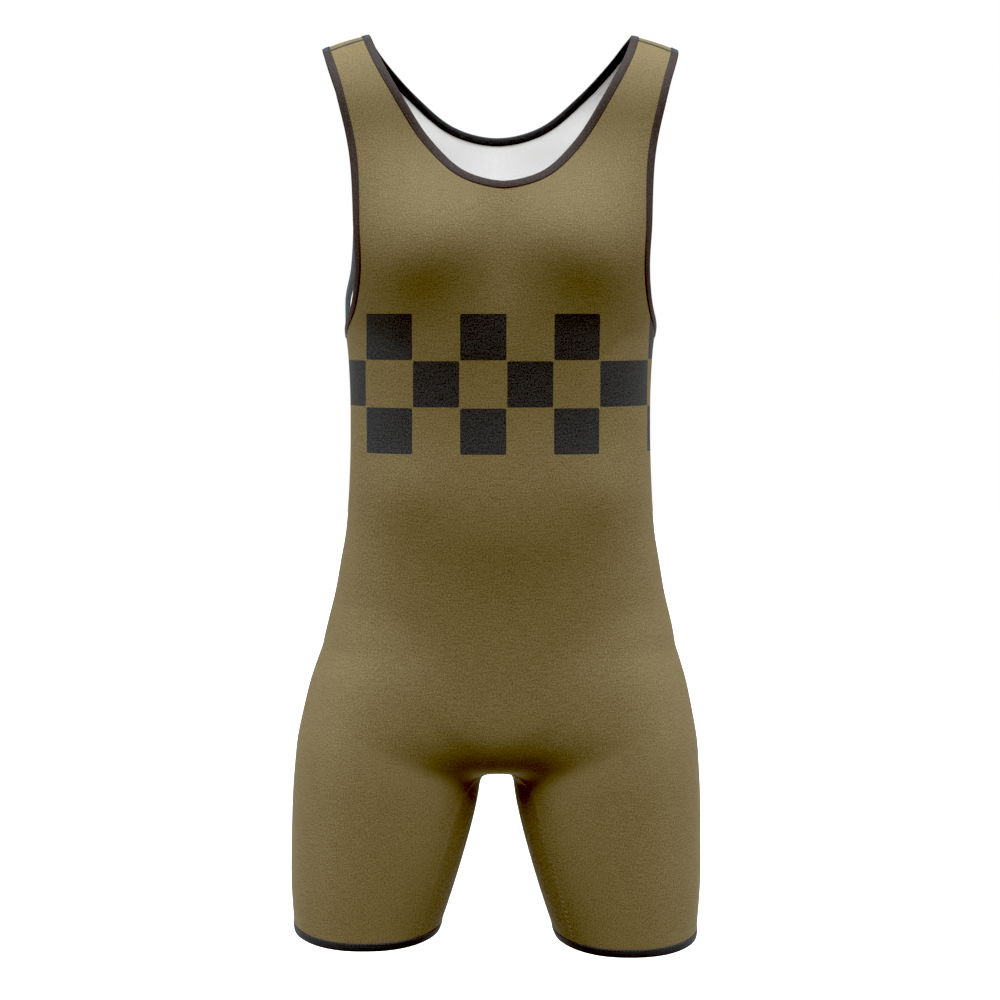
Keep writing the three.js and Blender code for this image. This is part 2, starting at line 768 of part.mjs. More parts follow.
function neckBinding(faceName) {
  const shell = new Shell();
  const leftHalf = bindingSections(neckEdge[faceName], neckSeam[faceName], 1);
  const rightHalf = bindingSections(neckEdge[faceName], neckSeam[faceName], -1);
  const centre = bindingSection(neckEdge[faceName][NECK_STEPS], neckSeam[faceName][NECK_STEPS]);
  const sections = [...leftHalf.slice(0, -1), centre, ...rightHalf.slice(0, -1).reverse()];
  addTube(shell, sections, false, faceName === 'back');
  return shell.geometry();
}

function armholeBinding(side) {
  const shell = new Shell();
  const edge = [...armholeEdge.front, ...armholeEdge.back.slice(0, -1).reverse()];
  const seam = [...armholeSeam.front, ...armholeSeam.back.slice(0, -1).reverse()];
  addTube(shell, bindingSections(edge, seam, side), false, side > 0);
  return shell.geometry();
}

// Hem band: a folded strip round the leg below the panels and the gusset
function hemBand(sideName) {
  const side = SIDES[sideName];
  const { front, back } = layouts[sideName];
  const underLeg = gussetRows[sideName === 'left' ? 0 : gussetRows.length - 1];
  const around = [
    ...front.hem,
    ...back.hem.slice(0, -1).reverse(),
    ...underLeg.slice(1, -1).map((p) => mirrored(p, side)).reverse(),
  ];
  const below = (p, drop) => {
    const height = hemHeight(sideName, p.y) - drop;
    return settle(new THREE.Vector3(p.x, p.y, height), true);
  };
  const sections = around.map((p) => (
    bindingSection(below(p, HEM_BAND_HEIGHT), below(p, HALF_GAP)).map((q) => mirrored(q, side))
  ));
  const shell = new Shell();
  addTube(shell, sections, true, side < 0);
  return shell.geometry();
}

const garment = new THREE.Group();

function add(name, geometry, finish) {
  const mesh = new THREE.Mesh(geometry, new THREE.MeshStandardMaterial(finish));
  mesh.name = name;
  garment.add(mesh);
}

add('front_panel', panel('front'), COLOUR.cloth);
add('back_panel', panel('back'), COLOUR.cloth);
add('inner_leg_gusset', gusset(), COLOUR.cloth);
add('neck_binding_front', neckBinding('front'), COLOUR.binding);
add('neck_binding_back', neckBinding('back'), COLOUR.binding);
for (const [sideName, side] of Object.entries(SIDES)) {
  add(`armhole_binding_${sideName}`, armholeBinding(side), COLOUR.binding);
  add(`hem_band_${sideName}`, hemBand(sideName), COLOUR.binding);
}

export default garment;
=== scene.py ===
"""A wrestling singlet in its worn form: knit cloth, folded bindings, flat seams and a studio stage."""

from functools import lru_cache

import bmesh
import bpy
import numpy as np
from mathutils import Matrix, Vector


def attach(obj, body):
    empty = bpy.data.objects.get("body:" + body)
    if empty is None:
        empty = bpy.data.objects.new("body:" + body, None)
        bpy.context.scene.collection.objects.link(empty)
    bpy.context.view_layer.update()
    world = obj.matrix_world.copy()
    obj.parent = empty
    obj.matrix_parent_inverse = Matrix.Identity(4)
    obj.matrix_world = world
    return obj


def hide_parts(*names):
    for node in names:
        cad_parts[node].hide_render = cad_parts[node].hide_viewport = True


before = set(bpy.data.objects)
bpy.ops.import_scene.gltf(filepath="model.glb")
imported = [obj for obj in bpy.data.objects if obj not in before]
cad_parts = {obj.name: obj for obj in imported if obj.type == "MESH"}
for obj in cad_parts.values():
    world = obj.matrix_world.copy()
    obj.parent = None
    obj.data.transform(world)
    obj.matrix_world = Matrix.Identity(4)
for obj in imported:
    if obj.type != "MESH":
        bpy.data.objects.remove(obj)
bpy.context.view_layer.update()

bl_info = {
    "name": "Wrestling singlet",
    "version": (1, 0, 0),
    "blender": (4, 5, 0),
    "location": "3D View > Sidebar > Singlet",
    "description": "Dresses a wrestling singlet: cloth, bindings, seams and a studio stage",
    "category": "Object",
}

# Millimetres from here on: X runs across (the wearer's left is +X), Y from front to back, Z up
METRES = 0.001

BODY = "root"
FACES = {"front": -1, "back": 1}
SIDES = {"left": 1, "right": -1}


def table(names, *rows):
    """The columns of a short table, by name."""
    return dict(zip(names.split(), np.array(rows, dtype=float).T))


# General figure that fills the garment: torso sections from the shoulders to the hips
TORSO = table(
    "z half front back",
    (-20, 216, 80, 82),
    (-50, 213, 81, 84),
    (-86, 204, 83.6, 88),
    (-140, 178, 96.8, 100),
    (-190, 159, 105.8, 104),
    (-235, 146, 108.8, 100),
    (-271, 138.8, 106.8, 95),
    (-305, 136.2, 103.5, 90),
    (-340, 135.4, 101.2, 86),
    (-400, 136, 99, 84),
    (-445, 139.9, 97.2, 90),
    (-473, 144.9, 95, 95),
    (-510, 151, 92.9, 102),
    (-560, 156.3, 90.2, 107),
    (-600, 158, 88.7, 108),
    (-640, 158, 88.5, 108),
)
TORSO_SQUARENESS = 2.5
SHOULDER = {"plane": -86, "rise": 97, "power": 2.4}
PELVIS = {"plane": -556, "rise": 107.5, "front": 5, "back": 2.6}

# Leg sections: centre and half sizes across and from front to back
LEG = table(
    "z middle half depth set_back",
    (-550, 86, 71.5, 89, 13),
    (-590, 92.3, 80.3, 92, 11),
    (-630, 98, 84.2, 91.7, 7.5),
    (-665, 100.6, 85, 90.5, 5.1),
    (-692, 102.8, 84.2, 88.8, 3.9),
    (-725, 106.8, 80.8, 86.5, 2.7),
    (-769, 113.1, 74.5, 83.2, 1.4),
    (-807, 118, 67, 80.3, 0.7),
    (-840, 122.2, 60.3, 77.6, 0.2),
)
LEG_SQUARENESS = 2.3
LEG_CROWN = {"plane": -595, "rise": 95, "power": 2.6}

# How softly the torso runs into the legs, at the hips and at the crotch
BLEND = {"hip": 27, "crotch": 16, "start": -612, "length": 56}
MIDDLE_SOFTNESS = 6

# Soft forms of the figure: how far each stands out (or in) and how wide and tall it is
FORMS = table(
    "face x z wide tall out",
    (-1, 63.5, -174, 70, 48.5, 15),
    (-1, 83, -207, 37, 33, 3.4),
    (-1, 0, -180, 16, 60, -2),
    (-1, 0, -416, 94, 50, 3.5),
    (-1, 90, -405, 34, 32, 3.3),
    (-1, 0, -471, 55, 34, 1.1),
    (-1, 0, -503, 44, 45, -0.6),
    (1, 68, -130, 48, 52, 5),
    (1, 0, -270, 22, 130, -4),
    (1, 66, -575, 60, 62, 5),
)
FACE_CHANGE = 70

# Edge of the neck opening, from the centre front over the shoulder to the centre back
NECK_EDGE = table(
    "x y z",
    (0, -98, -132.4),
    (32.8, -95.5, -125),
    (63.5, -85, -96),
    (92.4, -76, -50),
    (109.5, -60, -17),
    (116.4, -20, -2),
    (116, 25, -2),
    (104.6, 63, -13),
    (77, 81, -45),
    (40, 87.3, -75.5),
    (0, 88, -85.3),
)

# Edge of an armhole, from the shoulder down the front, under the arm and up the back
ARMHOLE_EDGE = table(
    "x y z",
    (158, -12, -17),
    (151, -57, -40),
    (143, -67, -70),
    (134.7, -74.5, -114),
    (130.5, -79, -165),
    (127.3, -75, -205),
    (132.5, -58, -240),
    (138.5, -30, -258),
    (140.5, -6, -264),
    (141, 14, -258),
    (140, 36, -234),
    (134.8, 58, -207),
    (133.5, 72, -170),
    (136, 79, -120),
    (144, 73, -68),
    (152, 55, -38),
    (158, 15, -17),
)
SHOULDER_SEAM_Y = -32
SHOULDER_PART = {"neck": (0.3, 0.75), "armhole": (0, 0.1)}

# Inner-leg seam of the front, from the centre of the crotch to the hem
INSEAM_FRONT = table(
    "x y z",
    (0, -38, -663),
    (18, -39, -667),
    (24, -42, -670),
    (31, -50, -678),
    (35, -54.5, -690),
    (39.5, -56.5, -706),
    (43, -57.5, -720),
    (48, -58.5, -736),
    (55.5, -60, -759),
    (63, -60, -781),
    (71, -60, -810),
)
INSEAM_SWING = {"left": -6, "right": 6}
INSEAM_SWING_LENGTH = 56

SIDE_SEAM = table("z y", (-264, -6), (-420, 0), (-600, 6), (-840, -1))

# Top of each hem band: its height, how far it dips at the front and over what depth, and its bulge
HEM_TOP = {"left": -810, "right": -802.5}
HEM_DIP = 6
HEM_DIP_REACH = 80
HEM_REACH = 60
GUSSET_HEM_START = 20

# Shares of the centre line where it turns in between the legs and stops being level
CENTRE_TURN = 0.9
CENTRE_LEVEL = 0.85

# Lean of the legs to the wearer's right
LEAN = {"most": 3.8, "start": -530, "length": 290}

# Soft creases of the cloth: a line on one face, how wide it is and how far it stands out
CREASES = table(
    "face x1 z1 x2 z2 wide out",
    (-1, 20, -640, 60, -612, 7, -0.7),
    (-1, -24, -644, -66, -610, 8, -0.8),
    (-1, 118, -262, 84, -292, 9, -0.8),
    (-1, -121, -258, -82, -286, 10, -0.7),
    (1, 16, -632, 52, -618, 8, -0.9),
    (1, -18, -636, -56, -616, 9, -0.8),
    (1, 110, -392, 52, -404, 12, -0.9),
    (1, -104, -408, -46, -398, 13, -0.8),
)

# Steps along the edges of a half panel and along strips, and points of a fine line
STEPS = {
    "neck": 40, "centre": 96, "inseam": 44, "armhole": 62, "across": 54, "gusset": 34,
    "hem": 90, "flat_seam": 560, "shoulder": 60,
}
ROWS = STEPS["neck"] + STEPS["centre"] + STEPS["inseam"]
SIDE_STEPS = ROWS - STEPS["armhole"]
STRIP_PACE = 1.6
FINE = 1600

# Places of a grid's first points from its edge, close together where cloth dips into a seam
EDGE_LEADS = np.array([0.0, 0.6, 1.3, 2.4, 4.0])
PATCH_FADE = 6

# How cloth dips beside a seam, and swells faintly beyond it
SEAM_DIP = {"out": -0.55, "wide": 0.9}
SEAM_SWELL = {"out": 0.12, "from_seam": 3.2, "wide": 1.8}

# Where places on the cloth start to run by length round the side, and over what width
SIDE_TURN = {"start": 118, "width": 22}


def smooth_step(t):
    """3t² - 2t³ with t held between 0 and 1."""
    t = np.clip(t, 0, 1)
    return t * t * (3 - 2 * t)


def bell(distance, wide):
    """Gaussian bell, exp(-(distance / wide)²): 1 at its middle."""
    return np.exp(-((distance / wide) ** 2))


def along(rows, name, z):
    """Value of a table's column at height z.

    A cubic between each two rows whose slope at a row is that between its neighbours, held flat
    past both ends.
    """
    heights, values = rows["z"][::-1], rows[name][::-1]
    last = len(heights) - 1
    below = np.maximum(np.arange(last + 1) - 1, 0)
    above = np.minimum(np.arange(last + 1) + 1, last)
    slopes = (values[above] - values[below]) / (heights[above] - heights[below])
    held = np.clip(z, heights[0], heights[-1])
    i = np.clip(np.searchsorted(heights, held, side="right") - 1, 0, last - 1)
    step = heights[i + 1] - heights[i]
    t = (held - heights[i]) / step
    start = (1 + 2 * t) * (1 - t) ** 2 * values[i] + t * (1 - t) ** 2 * step * slopes[i]
    end = t * t * (3 - 2 * t) * values[i + 1] + t * t * (t - 1) * step * slopes[i + 1]
    return start + end


def rounded_body(x, y, h, half, depth, rise, squareness, power):
    """Distance to a rounded body along a ray from its middle.

    A superellipse ring of half sizes half and depth, joined to the height h over rise by a power.
    """
    ring = (np.abs(x / half) ** squareness + np.abs(y / depth) ** squareness) ** (power / squareness)
    reach = (ring + np.abs(h / rise) ** power) ** (1 / power)
    return np.sqrt(x * x + y * y + h * h) * (1 - 1 / np.maximum(reach, 1e-6))


def figure(p):
    """Signed distance, roughly, to the figure: torso and leg bodies blended smoothly, less its soft forms."""
    x, y, z = p[..., 0], p[..., 1], p[..., 2]
    front, back = along(TORSO, "front", z), along(TORSO, "back", z)
    upper = z > (SHOULDER["plane"] + PELVIS["plane"]) / 2
    cap = np.where(upper, z - SHOULDER["plane"], PELVIS["plane"] - z)
    rise = np.where(upper, SHOULDER["rise"], PELVIS["rise"])
    fore = smooth_step(0.5 - y / FACE_CHANGE)
    power = np.where(upper, SHOULDER["power"], PELVIS["back"] + (PELVIS["front"] - PELVIS["back"]) * fore)
    torso = rounded_body(
        x, y - (back - front) / 2, np.maximum(cap, 0), along(TORSO, "half", z), (front + back) / 2,
        rise, TORSO_SQUARENESS, power,
    )
    leg = rounded_body(
        np.hypot(x, MIDDLE_SOFTNESS) - along(LEG, "middle", z), y - along(LEG, "set_back", z),
        np.maximum(z - LEG_CROWN["plane"], 0), along(LEG, "half", z), along(LEG, "depth", z),
        LEG_CROWN["rise"], LEG_SQUARENESS, LEG_CROWN["power"],
    )
    low = smooth_step((BLEND["start"] - z) / BLEND["length"])
    reach = BLEND["hip"] + (BLEND["crotch"] - BLEND["hip"]) * low
    share = np.maximum(reach - np.abs(torso - leg), 0) / reach
    return np.minimum(torso, leg) - share * share * reach / 4 - soft_forms(x, y, z)


def soft_forms(x, y, z):
    """Sum of the soft forms: each a bell of its width and height, on one face."""
    total = np.zeros(x.shape)
    for face, mid_x, mid_z, wide, tall, out in zip(*FORMS.values()):
        facing = smooth_step(0.5 + face * y / FACE_CHANGE)
        total += out * facing * bell(np.abs(x) - mid_x, wide) * bell(z - mid_z, tall)
    return total


def slopes(p, probe=0.05):
    """Slope of the figure's distance at each point, by central differences."""
    offsets = probe * np.eye(3).reshape((3,) + (1,) * (p.ndim - 1) + (3,))
    return np.moveaxis(figure(p + offsets) - figure(p - offsets), 0, -1) / (2 * probe)


def outward(p):
    """Unit direction straight out of the figure."""
    slope = slopes(p)
    return slope / np.linalg.norm(slope, axis=-1, keepdims=True)


def settle(points, level=False):
    """Moves points onto the figure, straight up its slope or at the same height."""
    p = np.array(points, dtype=float)
    for _ in range(24):
        value = figure(p)
        if np.abs(value).max() < 1e-4:
            break
        slope = slopes(p)
        if level:
            slope[..., 2] = 0
        size = np.linalg.norm(slope, axis=-1)
        step = np.clip(value / size, -12, 12)
        p -= slope * (step / size)[..., None]
    return p


def lengths_along(lines):
    """Length along each line at each of its points; lines run along the last axis but one."""
    steps = np.linalg.norm(np.diff(lines, axis=-2), axis=-1)
    start = np.zeros(steps.shape[:-1] + (1,))
    return np.concatenate([start, np.cumsum(steps, axis=-1)], axis=-1)


def at_lengths(lines, wanted):
    """Points at the wanted lengths along each of several lines, straight between their points."""
    lengths = lengths_along(lines)
    apart = 1e6 * np.arange(len(lines))[:, None]
    known = (lengths + apart).ravel()
    asked = (np.clip(wanted, 0, lengths[:, -1:]) + apart).ravel()
    columns = [np.interp(asked, known, lines[..., k].ravel()) for k in range(lines.shape[-1])]
    return np.stack(columns, axis=-1).reshape(wanted.shape + (lines.shape[-1],))


def evenly(line, steps):
    """A line's points again, evenly spaced."""
    total = lengths_along(line)[-1]
    return at_lengths(line[None], np.linspace(0, total, steps + 1)[None])[0]


def led_in(line, steps):
    """A line's points again, close together at its start and even after that."""
    total = lengths_along(line)[-1]
    rest = np.linspace(EDGE_LEADS[-1], total, steps + 2 - len(EDGE_LEADS))
    return at_lengths(line[None], np.r_[EDGE_LEADS[:-1], rest][None])[0]


def led_in_rows(grid):
    """A grid's rows again, close together at both ends and even between; also each point's place."""
    total = lengths_along(grid)[:, -1:]
    lead = np.broadcast_to(EDGE_LEADS[:-1], (len(grid), len(EDGE_LEADS) - 1))
    share = np.linspace(0, 1, grid.shape[1] - 2 * lead.shape[1])
    middle = EDGE_LEADS[-1] + share * (total - 2 * EDGE_LEADS[-1])
    places = np.concatenate([lead, middle, total - lead[:, ::-1]], axis=1)
    return at_lengths(grid, places), places, total - places


def edge_line(rows, closed=False):
    """Fine line on the figure through a table's points: a centripetal Catmull-Rom curve."""
    corners = settle(np.stack([rows["x"], rows["y"], rows["z"]], axis=-1))
    count = len(corners)
    spans = count if closed else count - 1
    if closed:
        ring = corners[np.arange(-1, count + 2) % count]
    else:
        ring = np.vstack([2 * corners[0] - corners[1], corners, 2 * corners[-1] - corners[-2]])
    place = np.linspace(0, spans, FINE + 1)
    i = np.minimum(place.astype(int), spans - 1)
    t = (place - i)[:, None]
    a, b, c, d = (ring[i + k] for k in range(4))
    ab, bc, cd = (np.sqrt(np.linalg.norm(q - p, axis=1))[:, None] for p, q in ((a, b), (b, c), (c, d)))
    leave = ((b - a) / ab - (c - a) / (ab + bc) + (c - b) / bc) * bc
    arrive = ((c - b) / bc - (d - b) / (bc + cd) + (d - c) / cd) * bc
    curve = b + leave * t + (3 * (c - b) - 2 * leave - arrive) * t**2 + (2 * (b - c) + leave + arrive) * t**3
    return settle(curve)


def moved_sideways(line, distance):
    """A line moved over the figure, to the right of the way it runs as seen from outside."""
    ahead = np.vstack([line[1:], line[-1:]])
    behind = np.vstack([line[:1], line[:-1]])
    right = np.cross(ahead - behind, outward(line))
    right /= np.linalg.norm(right, axis=1, keepdims=True)
    return settle(line + distance * right)


def mirrored(p, side):
    """Points of the left half, on the given side."""
    return p * np.array([side, 1, 1])


def posed(p):
    """The points with the legs' lean: x falls by the lean's share, which eases in below its start."""
    t = np.clip((LEAN["start"] - p[..., 2]) / LEAN["length"], 0, 1)
    leaning = np.array(p)
    leaning[..., 0] -= LEAN["most"] * t * (2 - t)
    return leaning


def creased(p):
    """How far the cloth's soft creases stand out at each point: bells across lines, fading at their ends."""
    total = np.zeros(p.shape[:-1])
    at = p[..., [0, 2]]
    for face, x1, z1, x2, z2, wide, out in zip(*CREASES.values()):
        start, run = np.array([x1, z1]), np.array([x2 - x1, z2 - z1])
        length = np.linalg.norm(run)
        t = (at - start) @ run / length**2
        across = (at - start) @ np.array([-run[1], run[0]]) / length
        fade = smooth_step(0.5 + 1.6 * t) * smooth_step(0.5 + 1.6 * (1 - t))
        facing = smooth_step(0.5 + face * p[..., 1] / FACE_CHANGE)
        total += out * fade * facing * bell(across, wide)
    return total


def shoulder_place(line, low, high):
    """Index where a line crosses the shoulder seam, between two shares of its length."""
    start, end = int(len(line) * low), int(len(line) * high)
    return start + int(np.abs(line[start : end + 1, 1] - SHOULDER_SEAM_Y).argmin())


def with_mirror_row(rows, first, last):
    """A table with its second row mirrored before its first, or its last but one after its last."""
    extended = {}
    for name, values in rows.items():
        flip = -1 if name == "x" else 1
        before = [flip * values[1]] if first else []
        after = [flip * values[-2]] if last else []
        extended[name] = np.r_[before, values, after]
    return extended


def lay_out_neck():
    """Front and back neck edges, each from the shoulder seam to the centre."""
    line = edge_line(with_mirror_row(NECK_EDGE, True, True))
    line = line[line[:, 0] > -0.15]
    line[[0, -1], 0] = 0
    shoulder = shoulder_place(line, *SHOULDER_PART["neck"])
    return {"front": line[shoulder::-1], "back": line[shoulder:]}


def lay_out_armhole():
    """Front and back armhole edges, each from the shoulder seam to the underarm."""
    line = edge_line(ARMHOLE_EDGE, closed=True)[:-1]
    shoulder = shoulder_place(line, *SHOULDER_PART["armhole"])
    line = np.vstack([line[shoulder:], line[: shoulder + 1]])
    under = int(line[:, 2].argmin())
    return {"front": line[: under + 1], "back": line[:under - 1:-1]}


def moved_halves(halves, distance, centred):
    """Two half lines that share their first point, moved sideways as one."""
    whole = np.vstack([halves["front"][::-1], halves["back"][1:]])
    if not centred:
        whole = np.vstack([whole[-2], whole, whole[1]])
    moved = moved_sideways(whole, distance)
    if not centred:
        moved = moved[1:-1]
    parted = len(halves["front"]) - 1
    result = {"front": moved[parted::-1], "back": moved[parted:]}
    if centred:
        for line in result.values():
            line[-1, 0] = 0
    return result


def hem_height(side_name, y):
    """Height of a hem band's top: the leg's own, dipping a little at the front."""
    return HEM_TOP[side_name] - HEM_DIP * (np.minimum(y, 0) / HEM_DIP_REACH) ** 2


def side_points(z):
    """Points of the side seam at given heights."""
    start = np.stack([along(LEG, "middle", z) + along(LEG, "half", z), along(SIDE_SEAM, "y", z), z], axis=-1)
    return settle(start, level=True)


def lay_out_side_seam(top, side_name):
    """Side seam from the underarm to the hem."""
    return np.vstack([top, side_points(np.linspace(top[2], hem_height(side_name, 0), 400)[1:])])


def lay_out_inseam(side_name, face):
    """Inner-leg seam of one face, from the centre of the crotch to the hem."""
    rows = {name: values.copy() for name, values in INSEAM_FRONT.items()}
    share = smooth_step((rows["z"][0] - rows["z"]) / INSEAM_SWING_LENGTH)
    rows["x"] += INSEAM_SWING[side_name] * share
    rows["y"] *= -face
    line = edge_line(with_mirror_row(rows, True, False))
    low = hem_height(side_name, line[-1, 1])
    line = line[(line[:, 0] > -0.15) & (line[:, 2] > low + 0.15)]
    line[0, 0] = 0
    end = line[-1].copy()
    end[2] = low
    return np.vstack([line, settle(end[None], level=True)])


def lay_out_centre(start, end):
    """Centre line of a face: level with the figure, turning in between the legs at its end."""
    t = np.linspace(0, 1, 201)[:, None]
    line = start + (end - start) * t
    turn = np.maximum(0, t[:, 0] - CENTRE_TURN) / (1 - CENTRE_TURN)
    line[:, 1] = start[1] + (end[1] - start[1]) * turn
    upper = settle(line[t[:, 0] < CENTRE_LEVEL], level=True)
    lower = settle(line[t[:, 0] >= CENTRE_LEVEL])
    line = np.vstack([start, upper[1:], lower[:-1], end])
    line[:, 0] = 0
    return line


def lay_out_hem(start, end, side_name, face, steps):
    """Hem line round one face of a leg, at the hem band's top."""
    t = np.linspace(0, 1, 101)[:, None]
    middle = (start + end) / 2 + np.array([0, face * HEM_REACH, 0])
    line = (1 - t) ** 2 * start + 2 * t * (1 - t) * middle + t**2 * end
    for _ in range(2):
        line[:, 2] = hem_height(side_name, line[:, 1])
        line = evenly(settle(line, level=True), steps)
    return line


def gusset_hem(front, back, side_name, steps):
    """Hem line round the inner side of a leg, at the hem band's top."""
    t = np.linspace(0, 1, 101)[:, None]
    line = front + (back - front) * t
    line[:, 0] -= GUSSET_HEM_START * np.sin(np.pi * t[:, 0])
    for _ in range(2):
        line[:, 2] = hem_height(side_name, line[:, 1])
        line = evenly(settle(line, level=True), steps)
    return line


class Pattern:
    """All seam lines of the left half, or of each leg, on the figure."""

    def __init__(self, binding, tuck):
        self.neck = lay_out_neck()
        self.neck_cut = moved_halves(self.neck, binding - tuck, centred=True)
        self.neck_seam = moved_halves(self.neck, binding, centred=True)
        self.armhole = lay_out_armhole()
        self.armhole_cut = moved_halves(self.armhole, tuck - binding, centred=False)
        self.armhole_seam = moved_halves(self.armhole, -binding, centred=False)
        self.side_seam = {s: lay_out_side_seam(self.armhole_cut["front"][-1], s) for s in SIDES}
        self.inseam = {s: {f: lay_out_inseam(s, FACES[f]) for f in FACES} for s in SIDES}
        self.centre = {
            f: lay_out_centre(self.neck_cut[f][-1], self.inseam["left"][f][0]) for f in FACES
        }


def patch(top, bottom, inner, outer):
    """Grid between four edges that share corners, laid onto the figure.

    Straight between the inner and outer edge in each row, with the top's and bottom's bulge added
    and fading as a power of the distance from them, then settled and spaced anew.
    """
    u = np.linspace(0, 1, len(top))[None, :, None]
    t = np.linspace(0, 1, len(inner))[:, None, None]
    ruled = inner[:, None] * (1 - u) + outer[:, None] * u
    bulge = (top - ruled[0]) * (1 - t) ** PATCH_FADE + (bottom - ruled[-1]) * t**PATCH_FADE
    grid = settle(ruled + bulge)
    grid[-1] = bottom
    grid, from_inner, from_outer = led_in_rows(grid)
    grid[1:-1, 1:-1] = settle(grid[1:-1, 1:-1])
    return grid, from_inner, from_outer


def turned_in(distance):
    """How far cloth dips beside a seam: a narrow bell, with a faint swell beyond it."""
    dip = SEAM_DIP["out"] * bell(distance, SEAM_DIP["wide"])
    swell = SEAM_SWELL["out"] * bell(distance - SEAM_SWELL["from_seam"], SEAM_SWELL["wide"])
    return dip + swell


def half_panel(pattern, face_name, side_name, tuck):
    """Grid of one half of a panel with how far each point stands out, unmirrored."""
    neck = led_in(pattern.neck_cut[face_name], STEPS["neck"])
    centre = evenly(pattern.centre[face_name], STEPS["centre"])
    inseam = evenly(pattern.inseam[side_name][face_name], STEPS["inseam"])
    armhole = led_in(pattern.armhole_cut[face_name], STEPS["armhole"])
    side = evenly(pattern.side_seam[side_name], SIDE_STEPS)
    inner = settle(np.vstack([neck, centre[1:], inseam[1:]]))
    outer = settle(np.vstack([armhole, side[1:]]))
    halfway = settle((inner[:1] + outer[:1]) / 2)
    top = settle(evenly(np.vstack([inner[0], halfway, outer[0]]), STEPS["across"]))
    bottom = lay_out_hem(inner[-1], outer[-1], side_name, FACES[face_name], STEPS["across"])
    inner[-1], outer[-1] = bottom[0], bottom[-1]
    grid, from_inner, from_outer = patch(top, bottom, inner, outer)
    sunk = np.zeros(grid.shape[:2])
    sunk[STEPS["armhole"] :] += turned_in(from_outer[STEPS["armhole"] :])
    from_top = lengths_along(np.swapaxes(grid, 0, 1)).T
    sunk += turned_in(from_top)
    lower = slice(STEPS["neck"] + STEPS["centre"], None)
    sunk[lower] += turned_in(from_inner[lower])
    grid[-1, :, 2] -= tuck
    grid[-1] = settle(grid[-1], level=True)
    return grid, sunk


def cloth_places(grid, side):
    """Each point's place on the flat cloth: across and down it.

    Across is x itself over the middle of the body and runs on by length round its side; down is
    height at the band of squares and runs on by length from there.
    """
    steps = np.diff(grid, axis=1)
    turning = smooth_step((grid[:, 1:, 0] - SIDE_TURN["start"]) / SIDE_TURN["width"])
    advance = (1 - turning) * steps[..., 0] + turning * np.linalg.norm(steps, axis=-1)
    across = grid[:, :1, 0] + np.concatenate([np.zeros((len(grid), 1)), np.cumsum(advance, axis=1)], axis=1)
    down = lengths_along(np.swapaxes(grid, 0, 1)).T
    nearest = np.abs(grid[..., 2] - BAND_TOP).argmin(axis=0)
    columns = np.arange(grid.shape[1])
    height = grid[nearest, columns, 2] + down[nearest, columns] - down
    return np.stack([across * side, height], axis=-1)


def wall_faces(rows, across, turned, open_inner):
    """Quads of a wall under a grid of points, outer skin first, then the inner skin and the rims.

    open_inner holds, for each step down the inner edge, whether it has a rim.
    """
    index = np.arange((rows + 1) * (across + 1)).reshape(rows + 1, across + 1)
    under = index + index.size
    skins = [
        np.stack([index[:-1, :-1], index[1:, :-1], index[1:, 1:], index[:-1, 1:]], axis=-1),
        np.stack([under[:-1, :-1], under[:-1, 1:], under[1:, 1:], under[1:, :-1]], axis=-1),
    ]
    rims = [
        np.stack([index[:-1, 0], under[:-1, 0], under[1:, 0], index[1:, 0]], axis=-1)[open_inner],
        np.stack([index[:-1, -1], index[1:, -1], under[1:, -1], under[:-1, -1]], axis=-1),
        np.stack([index[0, :-1], index[0, 1:], under[0, 1:], under[0, :-1]], axis=-1),
        np.stack([index[-1, :-1], under[-1, :-1], under[-1, 1:], index[-1, 1:]], axis=-1),
    ]
    faces = np.vstack([skin.reshape(-1, 4) for skin in skins] + rims)
    inside = np.r_[np.zeros(rows * across), np.ones(rows * across), np.zeros(sum(len(r) for r in rims))]
    return (faces[:, ::-1] if turned else faces), inside.astype(int)


def wall(grid, sunk, thickness, side, turned, open_inner):
    """Points, quads, material places and cloth places of a wall under a grid."""
    out = outward(grid)
    top = grid + out * (sunk + creased(mirrored(grid, side)))[..., None]
    under = top - out * thickness
    points = mirrored(np.vstack([top.reshape(-1, 3), under.reshape(-1, 3)]), side)
    faces, inside = wall_faces(grid.shape[0] - 1, grid.shape[1] - 1, turned, open_inner)
    places = cloth_places(grid, side).reshape(-1, 2)
    return points, faces, inside, np.vstack([places, places])


def joined(parts):
    """Several parts' points, faces, material places and cloth places as one, with shared points merged."""
    starts = np.cumsum([0] + [len(part[0]) for part in parts[:-1]])
    points = np.vstack([part[0] for part in parts])
    faces = np.vstack([part[1] + start for part, start in zip(parts, starts)])
    inside = np.concatenate([part[2] for part in parts])
    places = np.vstack([part[3] for part in parts])
    near = np.round(points, 3) + 0.0
    _, first, which = np.unique(near, axis=0, return_index=True, return_inverse=True)
    return points[first], which.ravel()[faces], inside, places[first]


def signed_volume(mesh):
    """Volume of a closed mesh, below zero when its faces point in."""
    solid = bmesh.new()
    solid.from_mesh(mesh)
    volume = solid.calc_volume(signed=True)
    solid.free()
    return volume


